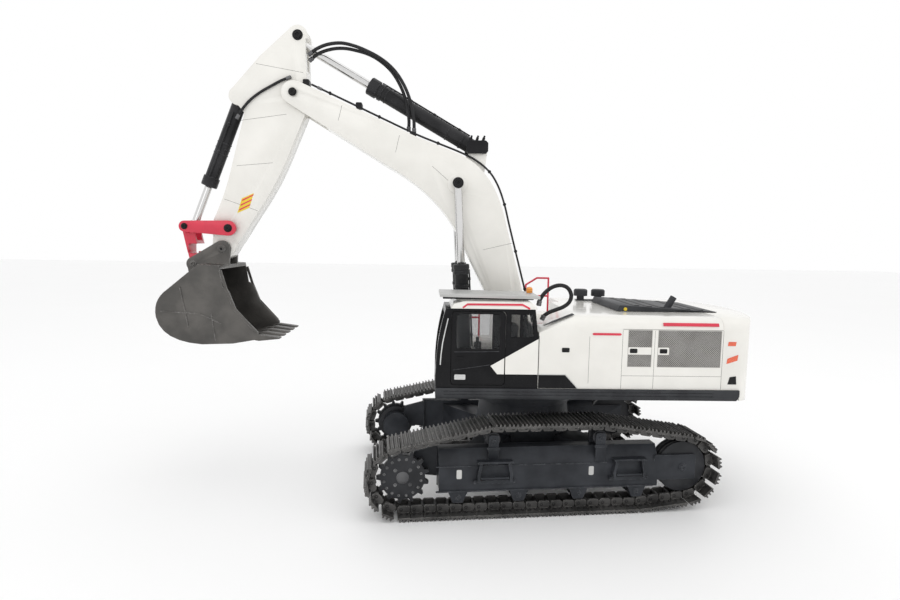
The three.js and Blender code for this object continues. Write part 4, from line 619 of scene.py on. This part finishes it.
GRILLES = ((86, 110, 150, 187), (116, 180, 150, 187))
for flank, outward in (("left", -1), ("right", 1)):
    skin = outward * SIDE
    floor_y = skin - outward * 1.1 if outward < 0 else skin
    # Behind each grille lies a near-black sheet of painted shade, under the pierced lattice.
    shade_sheet, lattice, band = Blank(), Blank(), Blank()
    for x0, x1, z0, z1 in GRILLES:
        shade_sheet.across(cornered(x0 + 0.2, x1 - 0.2, z0 + 0.2, z1 - 0.2, 0.6),
                       floor_y, floor_y + outward * 0.15)
        web_y = floor_y + outward * 0.55
        pierced(lattice, x0 + 0.3, x1 - 0.3, z0 + 0.3, z1 - 0.3, web_y, web_y + outward * 0.3)
        for bar in frame_of(x0, x1, z0, z1, 0.7):
            lattice.across(bar, floor_y + outward * 0.1, floor_y + outward * 1.2)
    shade_sheet.fit(f"grille_shade_sheet_{flank}", "upper_structure", grille_shade_black, round_mm=0.05)
    lattice.fit(f"grille_sheet_{flank}", "upper_structure", sheet_grey, round_mm=0.05)
    # White latch plates across the grilles, each with its black latch.
    for x0, x1 in ((86.3, 109.7), (116.3, 127.5)):
        band.across(cornered(x0, x1, 162.4, 169.8, 0.5), floor_y + outward * 0.2, skin + outward * 0.25)
    band.fit(f"latch_plates_{flank}", "upper_structure", shell_white, slot="white_shell")
    latches = Blank()
    for latch_x in (88, 118, 20.2):
        if latch_x < 50 and outward > 0:
            continue
        for inset, lift in ((0, 0.5), (1.3, 0.9)):
            outline = cornered(latch_x + inset, latch_x + 7.6 - inset, 163.9 + inset, 168.4 - inset, 0.6)
            latches.across(outline, skin, skin + outward * lift)
    latches.fit(f"latches_{flank}", "upper_structure", black_plastic, slot="black_plastic")
    # The door gaps are thin dark strips of painted shade.
    gaps = Blank()
    for line in (((80.5, 128), (80.5, 186.5)), ((112.8, 128), (112.8, 186.5)),
                 ((80.5, 187.6), (181.4, 187.6)), ((47.5, 133), (47.5, 180)),
                 ((80.5, 141), (181.4, 141)), ((181.8, 128), (181.8, 187))):
        gaps.across(strip(line, 0.28), skin - outward * 0.3, skin + outward * 0.06)
    if outward < 0:
        gaps.across(strip(((-2.6, 141.2), (-2.6, 180)), 0.5), skin + 0.3, skin - 0.12)
    gaps.fit(f"door_gap_shades_{flank}", "upper_structure", seam_shade_black, round_mm=0.03)
    stripes = Blank()
    stripes.across(cornered(50, 79, 181.4, 183.6, 1.0), skin - outward * 0.4, skin + outward * 0.7)
    stripes.fit(f"side_grip_{flank}", "upper_structure", accent_red, slot="accent_red")
    # The upper red grip lies on the rounded shoulder of the deck.
    grip = Blank()
    section = ((0.3, 191.6), (-1.2, 194.6), (-3.4, 193.8), (-2.2, 190.6))
    grip.skin([[(x, skin + outward * reach, z) for reach, z in section] for x in (121, 122, 176, 177)])
    grip.fit(f"deck_grip_{flank}", "upper_structure", accent_red, slot="accent_red", round_mm=0.3)

# The black band with its pale edge line, on the cab side and running under the cab's rear corner.
band_black = moulded("band_black", (0.007, 0.007, 0.008), (0.012, 0.012, 0.013), 0.26, depth=0.01,
                     Specular_IOR_Level=0.12)
band_side = Blank()
band_side.across([(-2.4, 127.6), (36.5, 127.6), (24.2, 141), (-2.4, 141)], -SIDE + 0.3, -SIDE - 0.3)
band_side.fit("side_band", "upper_structure", band_black, slot="black_plastic", round_mm=0.08)
edge_line = Blank()
edge_line.across(strip(((-2.4, 141.5), (24.4, 141.5), (37.4, 127.6)), 0.9), -SIDE + 0.3, -SIDE - 0.42)
edge_line.fit("side_band_edge", "upper_structure", label_white, round_mm=0.06)

# A dark louvre on the slope behind the cab.
louvre = Blank()
for step in range(4):
    y0 = -98 + step * 2.4
    blade = [(4 + step * 3, 188.2 + step), (34, 199.8), (34, 200.5), (4 + step * 3, 188.9 + step)]
    louvre.across(blade, y0 + 6, y0 + 7.4)
louvre.fit("slope_louvre", "upper_structure", rim_plastic, slot="charcoal_plastic", round_mm=0.1)

# ---------------------------------------------------------------- counterweight
# Cast in one with rounded corners, in the shell's white. Red reflectors and a small dark vent sit
# one above the other on each of its two rear corners.
reflector = Finish("reflector", Coat_Weight=1.0, Coat_Roughness=0.03, Roughness=0.2)
facets = reflector.node("TexVoronoi", {"feature": "F1"}, {"Vector": reflector.spot, "Scale": 900.0},
                        out="Distance")
reflector.wear(Base_Color=reflector.mix(facets, tint(0.62, 0.05, 0.02), tint(0.85, 0.16, 0.05)))
reflector.relief(facets, 0.2)
lens_red = Blank()
dark_vent = Blank()
for outward in (-1, 1):
    skin = outward * SIDE
    lens_red.across([(186.5, 172.2), (194.5, 172.2), (195.2, 176.4), (187.2, 176.4)],
                    skin - outward * 1, skin + outward * 0.5)
    lens_red.across([(186.2, 154.0), (197.0, 157.5), (197.8, 163.4), (187.0, 159.4)],
                    skin - outward * 2, skin + outward * 0.6)
    dark_vent.across([(188.5, 133.2), (197.6, 133.2), (196.8, 141.6), (190.4, 140.6)],
                     skin - outward * 3, skin + outward * 0.4)
lens_red.fit("reflectors", "upper_structure", reflector, round_mm=0.25)
dark_vent.fit("corner_vents", "upper_structure", black_plastic, slot="black_plastic", round_mm=0.25)

# ---------------------------------------------------------------- hood, intakes and handrail
# The low hood over the engine has the exhaust stub moulded on, two round intake caps stand beside
# it, and a bent red tube guards the steps over the tank.
dress(rim_plastic, "hood_cover", "intake_caps", round_mm=0.4)
dress(accent_red, "handrail", round_mm=0.2)
hood_parts = Blank()
for rib_x in (108, 122, 136, 164, 178):
    rib_z = 206.4 - (rib_x - 94) * 0.055
    hood_parts.across(cornered(rib_x, rib_x + 6, rib_z - 0.6, rib_z + 0.7, 0.3), -52, 38)
hood_parts.fit("hood_ribs", "upper_structure", black_plastic, slot="black_plastic")
yellow_paint = moulded("yellow_paint", (0.8, 0.6, 0.03), (0.72, 0.52, 0.03), 0.35)
knob = Blank().turned((97, -57, 202.6), (0, -1, 0), [(0, 1.9), (1.6, 1.9), (2.0, 1.5)], sides=18)
knob.fit("hood_knob", "upper_structure", yellow_paint)

# ---------------------------------------------------------------- cab
# A black cage with dark tinted panes, a hinged door, a white roof with a red line along its edge,
# and a flat guard plate on four feet. The seat stands inside.
dress(band_black, "cab_frame", "cab_door", round_mm=0.4)
dress(shell_white, "cab_roof", round_mm=0.5)
guard_grey = moulded("guard_grey", (0.42, 0.42, 0.41), (0.5, 0.5, 0.49), 0.4, worn=(0.7, 0.7, 0.69))
dress(guard_grey, "roof_guard")
guard_rails = Blank()
for rail_y in (-97, -47):
    guard_rails.across(cornered(-98, -8, 214.4, 216.6, 0.5), rail_y, rail_y + 3)
guard_rails.fit("guard_rails", "upper_structure", black_plastic, slot="black_plastic")
seat_cover = moulded("seat_cover", (0.02, 0.02, 0.022), (0.04, 0.04, 0.043), 0.75, grain=500, depth=0.3)
dress(seat_cover, "seat", round_mm=1.2)
amber = Finish("amber_lamp", Roughness=0.15, Coat_Weight=1.0, IOR=1.5)
amber_rings = amber.node("TexWave", {"bands_direction": "Z"}, {"Vector": amber.spot, "Scale": 160.0})
amber.wear(Base_Color=amber.mix(amber_rings, tint(0.9, 0.36, 0.02), tint(0.75, 0.22, 0.01)))
amber.relief(amber_rings, 0.25)
dress(amber, "beacon", round_mm=0.5)

glass = Finish("cab_glass", IOR=1.5, Alpha=0.22, Coat_Weight=0.4)
smears = glass.noise(45, 3.0)
glass.wear(Base_Color=glass.mix(smears, tint(0.012, 0.014, 0.016), tint(0.03, 0.033, 0.036)),
           Roughness=smears * 0.07 + 0.02)
Blank().across(cornered(-83.7, -41.8, 166.3, 200.2, 2.5), -SIDE + 0.9, -SIDE + 1.5).fit(
    "door_pane", "cab_door", glass, round_mm=0.1)
panes = Blank()
panes.across([(-30.2, 178.3), (-8.4, 178.3), (-9.4, 200.2), (-30.2, 200.2)], -SIDE + 1.0, -SIDE + 1.6)
panes.across(cornered(-83.6, -42.4, 152.4, 200.1, 1), -39.6, -39.0)
panes.across(cornered(-31.6, -12.4, 165.4, 200.1, 1), -39.6, -39.0)
panes.fit("cab_panes", "upper_structure", glass, round_mm=0.1)
windscreen = Blank()
curve = [(-102.6, 146.3), (-102.5, 158), (-101.4, 170), (-99.2, 182), (-96.0, 193), (-93.6, 200)]
windscreen.across([*curve, *((x + 0.7, z) for x, z in curve[::-1])], -96.2, -46.2)
windscreen.fit("windscreen", "upper_structure", glass, round_mm=0.1)

# The white panel that runs up from under the door to the slope, in one line over two pieces.
PANEL_FACE = -SIDE - 0.5
door_panel = Blank()
door_panel.across([(-36.6, 141.2), (-43.4, 141.2), (-50.2, 149.5), (-36.6, 157.4)], -SIDE + 0.2, PANEL_FACE)
door_panel.fit("door_white_panel", "cab_door", shell_white, slot="white_shell")
frame_panel = Blank()
frame_panel.across([(-35.6, 141.2), (-3.2, 141.2), (-3.2, 176.9), (-35.6, 158.0)], -SIDE + 0.2, PANEL_FACE)
frame_panel.fit("cab_white_panel", "upper_structure", shell_white, slot="white_shell")
Blank().across([(-35.6, 127.8), (-3.2, 127.8), (-3.2, 141), (-35.6, 141)], -SIDE + 0.2, -SIDE - 0.3).fit(
    "cab_band", "upper_structure", band_black, slot="black_plastic", round_mm=0.08)
bright = moulded("bright_steel", (0.55, 0.55, 0.55), (0.68, 0.68, 0.67), 0.25, Metallic=0.9)
lamp = Blank()
lamp.across(cornered(-85.6, -74.6, 135.4, 140.6, 0.6), -SIDE + 0.2, -SIDE - 0.5)
lamp.across(cornered(-83.6, -76.0, 136.8, 139.2, 0.4), -SIDE - 0.3, -SIDE - 0.8)
lamp.fit("door_plate", "cab_door", bright, slot="bright_steel")
# Lighter charcoal strips on the black door, along its waist and its lower diagonal crease: painted highlights
# where light catches the creases.
crease_highlights = Blank()
crease_highlights.across(strip(((-86, 163), (-60, 163.4), (-42, 163.9)), 0.6), -SIDE + 0.2, -SIDE - 0.35)
crease_highlights.across(strip(((-87, 145), (-70, 147.4), (-51, 150.5)), 0.5), -SIDE + 0.2, -SIDE - 0.3)
crease_highlights.fit("door_crease_highlights", "cab_door", rim_plastic, round_mm=0.1)

# Mullion between the two rear panes, and a bright steel strip along the cab's front post, which is a painted
# highlight.
mullion_outline = [(-21.4, 178), (-18.8, 178), (-18.8, 200.4), (-21.4, 200.4)]
mullion = Blank().across(mullion_outline, -SIDE + 0.1, -SIDE + 2.4)
mullion.fit("rear_mullion", "upper_structure", band_black, slot="black_plastic")
post_highlight_strip = Blank().across(strip(((-99.6, 150), (-99.0, 160), (-97.6, 172), (-95.2, 184), (-92.6, 196)), 1.1),
                           -SIDE + 0.2, -SIDE - 0.3)
post_highlight_strip.fit("post_highlight_strip", "upper_structure", bright, slot="bright_steel", round_mm=0.1)
roof_line = Blank().across(strip(((-78.5, 206.6), (-74, 210.0), (-20, 210.4), (-12.6, 206.4)), 1.9),
                           -SIDE + 1.4, -SIDE - 0.25)
roof_line.fit("roof_line", "upper_structure", accent_red, slot="accent_red", round_mm=0.2)

# Controls on the seat's sides, in front of the operator.
controls = Blank()
for lever_y in (-90, -54):
    lever = [(0, 1.0), (8, 0.8), (8.4, 1.9), (13, 1.7), (14, 0.9)]
    controls.turned((-60, lever_y, 151), (-0.1, 0, 1), lever, sides=14)
controls.fit("levers", "upper_structure", black_plastic, slot="black_plastic")

# ---------------------------------------------------------------- inside the housing
# What the model needs to run: a battery in its wrap at the rear, and the receiver board in front
# of it. The drive that turns the deck stands beside the slewing ring.
wrap_blue = moulded("battery_wrap", (0.02, 0.05, 0.16), (0.03, 0.07, 0.2), 0.35, depth=0.1)
dress(wrap_blue, "battery_pack", round_mm=1.0)
dress(moulded("board_green", (0.01, 0.09, 0.035), (0.014, 0.13, 0.05), 0.45, grain=600), "control_board")

# ---------------------------------------------------------------- boom and stick
# Welded-looking hollow arms in the same white, with long rounded edges, fine dark lines of painted shade
# where the plates meet, and black hexagon pins at every pivot.
dress(shell_white, "boom", "stick", round_mm=2.0)
dress(black_plastic, "boom_lift_pin", "stick_pin", "bucket_pin", "boom_foot_pin", round_mm=0.4)
pins = Blank()
for outward in (-1, 1):
    pins.bolt((-82, outward * 33.2, 333.3), (0, outward, 0), 4.4, 3.2)
    pins.bolt((-260.4, outward * 18.6, 426.5), (0, outward, 0), 3.3, 2.6)
pins.fit("boom_pin_bolts", "boom", black_plastic, slot="black_plastic")
head_bolt = Blank()
for outward in (-1, 1):
    head_bolt.bolt((-255.8, outward * 12.8, 487), (0, outward, 0), 4.2, 3.0)
head_bolt.fit("stick_head_bolts", "stick", black_plastic, slot="black_plastic")
# Dark lines of painted shade where the plates of the boom and the stick meet.
boom_seam_shades, stick_seam_shades = Blank(), Blank()
for outward in (-1, 1):
    face = outward * 17
    for line in (((-150, 366), (-146, 384)), ((-212, 398), (-208, 414)), ((-20, 270), (-52, 262)),
                 ((-110, 352), (-84, 330))):
        boom_seam_shades.across(strip(line, 0.3), face - outward * 0.3, face + outward * 0.06)
    face = outward * 13
    for line in (((-268, 404), (-318, 396)), ((-283, 352), (-322, 348)), ((-250, 448), (-300, 456)),
                 ((-300, 300), (-336, 312))):
        stick_seam_shades.across(strip(line, 0.3), face - outward * 0.3, face + outward * 0.06)
boom_seam_shades.fit("boom_seam_shade_lines", "boom", seam_shade_black, round_mm=0.03)
stick_seam_shades.fit("stick_seam_shade_lines", "stick", seam_shade_black, round_mm=0.03)

# Hazard tape near the stick's foot: yellow with slanting red bars.
tape_yellow, tape_red = Blank(), Blank()
for outward in (-1, 1):
    face = outward * 13
    tape_yellow.across([(-322, 297), (-309, 303), (-304, 319), (-317, 313)],
                       face - outward * 0.2, face + outward * 0.12)
    for bar in range(3):
        z = 300.5 + bar * 5.2
        x = -319.5 + bar * 1.7
        bar_outline = [(x - 0.8, z - 1.0), (x + 11.4, z + 5.2), (x + 12.0, z + 7.0), (x - 0.2, z + 1.0)]
        tape_red.across(bar_outline, face, face + outward * 0.2)
tape_yellow.fit("hazard_tape", "stick", yellow_paint, round_mm=0.04)
tape_red.fit("hazard_bars", "stick", accent_red, round_mm=0.04)

# Black clamp blocks on the boom's top, and the valve block at the arm cylinder's foot.
blocks = Blank()
for x, z in ((-246.5, 437.4), (-190, 414.8), (-131.5, 385)):
    blocks.across(cornered(x - 3.4, x + 3.4, z - 3, z + 3.2, 0.8), -16.4, -6)
for inner, outer in ((-16.6, -13.2), (13.2, 16.6)):
    blocks.across(cornered(-73, -49, 367, 381, 2.5), inner, outer)
    for fitting_x in (-69, -62, -55):
        fitting_foot = (fitting_x, (inner + outer) / 2, 380)
        blocks.turned(fitting_foot, (0.3, 0, 1), [(0, 1.6), (4, 1.6), (4.4, 1.1), (6.5, 1.1)], sides=12)
blocks.fit("clamp_blocks", "boom", black_plastic, slot="black_plastic", round_mm=0.4)

# ---------------------------------------------------------------- hydraulic cylinders
# Black painted barrels with turned collars and a feed pipe along each, and chromed rods that slide
# out of them. Two lift the boom, one turns the stick and one the bucket.
barrel_paint = moulded("barrel_paint", (0.014, 0.014, 0.015), (0.03, 0.03, 0.032), 0.36, depth=0.04,
                       worn=(0.16, 0.16, 0.17), edge=0.5, Specular_IOR_Level=0.2)
dress(barrel_paint, "boom_cylinder_left", "boom_cylinder_right", "arm_cylinder", "bucket_cylinder",
      round_mm=0.5)
chrome = Finish("polished_rod", Metallic=1.0)
turning = chrome.node("TexNoise", {}, {"Vector": chrome.spot, "Scale": 1200.0, "Detail": 2.0})
chrome.wear(Base_Color=chrome.mix(turning, tint(0.72, 0.72, 0.72), tint(0.62, 0.61, 0.6)),
            Roughness=turning * 0.1 + 0.1)
chrome.relief(turning, 0.01)
dress(chrome, "boom_rod_left", "boom_rod_right", "arm_rod", "bucket_rod", round_mm=0.3)


def sleeves(name, body, foot, eye, y, radius, marks, pipe_side):
    """Turned rings on a barrel, and a feed pipe with its two clamps, from the foot towards the eye."""
    foot, eye = Vector((foot[0], y, foot[1])), Vector((eye[0], y, eye[1]))
    along = (eye - foot).normalized()
    shape = Blank()
    for start, end, proud in marks:
        ring = [(start, radius - 0.2), (start + 0.4, radius + proud), (end - 0.4, radius + proud),
                (end, radius - 0.2)]
        shape.turned(foot, along, ring, sides=32, hollow=True)
    square = Vector(pipe_side)
    pipe_foot = foot + square * (radius + 1.1)
    gland = marks[-1][0]
    shape.turned(pipe_foot, along, [(18, 0.5), (18.5, 0.9), (gland - 1, 0.9), (gland - 0.5, 0.5)], sides=14)
    for spot in (30, 62, 92):
        if spot < gland - 4:
            clamp = [(spot, 1.3), (spot + 0.4, 1.7), (spot + 3, 1.7), (spot + 3.4, 1.3)]
            shape.turned(pipe_foot - square * 0.4, along, clamp, sides=14)
    return shape.fit(name, body, barrel_paint, slot="black_plastic", round_mm=0.1)


for side_name, y in (("left", -26.5), ("right", 26.5)):
    sleeves(f"boom_cylinder_rings_{side_name}", "boom_barrels", (-70.3, 136.3), (-82, 333.3), y, 7.6,
            ((60, 62, 0.5), (84, 88, 0.7), (99, 103, 1.3), (104.5, 109.6, 1.4)), (1, 0, 0.06))
sleeves("arm_cylinder_rings", "arm_barrel", (-57, 371), (-255.8, 482), 0, 8.3,
        ((22, 25, 0.6), (40, 42, 0.5), (118, 120, 0.5), (124, 128, 1.1), (130, 140.6, 1.5)),
        (0.487, 0, 0.873))
sleeves("bucket_cylinder_rings", "bucket_barrel", (-319.6, 422.3), (-373.1, 284.1), 0, 7.4,
        ((52, 53.6, 0.5), (58, 59.6, 0.5), (64, 65.6, 0.5), (92, 102.6, 1.3)), (0, -1, 0))

# ---------------------------------------------------------------- bucket and its linkage
# Raspberry red rocker arms and link with black hexagon pins, and a cast bucket in dark metal
# whose raised plates, lip and teeth are rubbed pale.
dress(accent_red, "rocker_arms", "bucket_link", round_mm=0.5)
bucket_metal = moulded("bucket_metal", (0.075, 0.072, 0.068), (0.125, 0.118, 0.11), 0.42, grain=500,
                       depth=0.12, worn=(0.34, 0.33, 0.32), edge=0.9, Metallic=0.55)
dress(bucket_metal, "bucket", round_mm=0.5)
rocker_bolts = Blank()
for outward in (-1, 1):
    rocker_bolts.bolt((-330.3, outward * 19.8, 280.4), (0, outward, 0), 3.3, 2.6)
    rocker_bolts.bolt((-377, outward * 19.8, 281.7), (0, outward, 0), 2.6, 2.2)
rocker_bolts.fit("rocker_bolts", "rocker", black_plastic, slot="black_plastic")
bucket_parts = Blank()
for outward in (-1, 1):
    face = outward * 48
    bucket_parts.bolt((-338.7, outward * 15.4, 257.7), (0, outward, 0), 3.4, 2.2)
    bucket_parts.bolt((-369.9, outward * 15.4, 241), (0, outward, 0), 2.8, 2.0)
    # Side plates: a rib along the mouth edge and two shallow ribs on the cheek.
    for line, width in ((((-330, 236), (-324, 216), (-316, 196), (-294, 172)), 3.0),
                        (((-392, 192), (-352, 190), (-330, 180)), 1.2),
                        (((-372, 218), (-364, 176)), 1.2), (((-340, 190), (-336, 162)), 1.2)):
        bucket_parts.across(strip(line, width), face - outward * 0.4, face + outward * 0.6)
bucket_parts.fit("bucket_ribs", "bucket", bucket_metal, slot="bucket_metal", round_mm=0.2)

# ---------------------------------------------------------------- floor and light
# A plain pale floor under an even white sky, with soft boxes above, in front and at one side.
floor_data = bpy.data.meshes.new("floor")
floor_data.from_pydata([(-6, -3, 0), (6, -3, 0), (6, 6, 0), (-6, 6, 0)], [], [(0, 1, 2, 3)])
floor = bpy.data.objects.new("floor", floor_data)
bpy.context.scene.collection.objects.link(floor)
floor_paper = Finish("floor_paper", Roughness=0.6)
floor_shades = floor_paper.mix(floor_paper.noise(3), tint(0.93, 0.93, 0.93), tint(0.95, 0.95, 0.95))
floor_paper.wear(Base_Color=floor_shades)
floor.data.materials.append(floor_paper.material)

world = bpy.data.worlds.new("sky")
bpy.context.scene.world = world
world.use_nodes = True
world.node_tree.nodes["Background"].inputs["Color"].default_value = tint(1, 1, 1)
world.node_tree.nodes["Background"].inputs["Strength"].default_value = 1.0
for light_name, place, target, size, power in (
    ("soft_top", (0.1, -0.2, 1.6), (0, 0, 0.15), 1.6, 2.5),
    ("soft_front", (-0.9, -1.4, 1.1), (0, 0, 0.2), 1.0, 2),
    ("soft_side", (1.5, -0.7, 0.8), (0.1, 0, 0.2), 0.8, 1),
):
    area = bpy.data.lights.new(light_name, "AREA")
    area.size = size
    area.energy = power
    lamp_object = bpy.data.objects.new(light_name, area)
    bpy.context.scene.collection.objects.link(lamp_object)
    aim = (Vector(target) - Vector(place)).to_track_quat("-Z", "Y")
    lamp_object.matrix_world = Matrix.Translation(place) @ aim.to_matrix().to_4x4()
bpy.context.scene.view_settings.view_transform = "Standard"
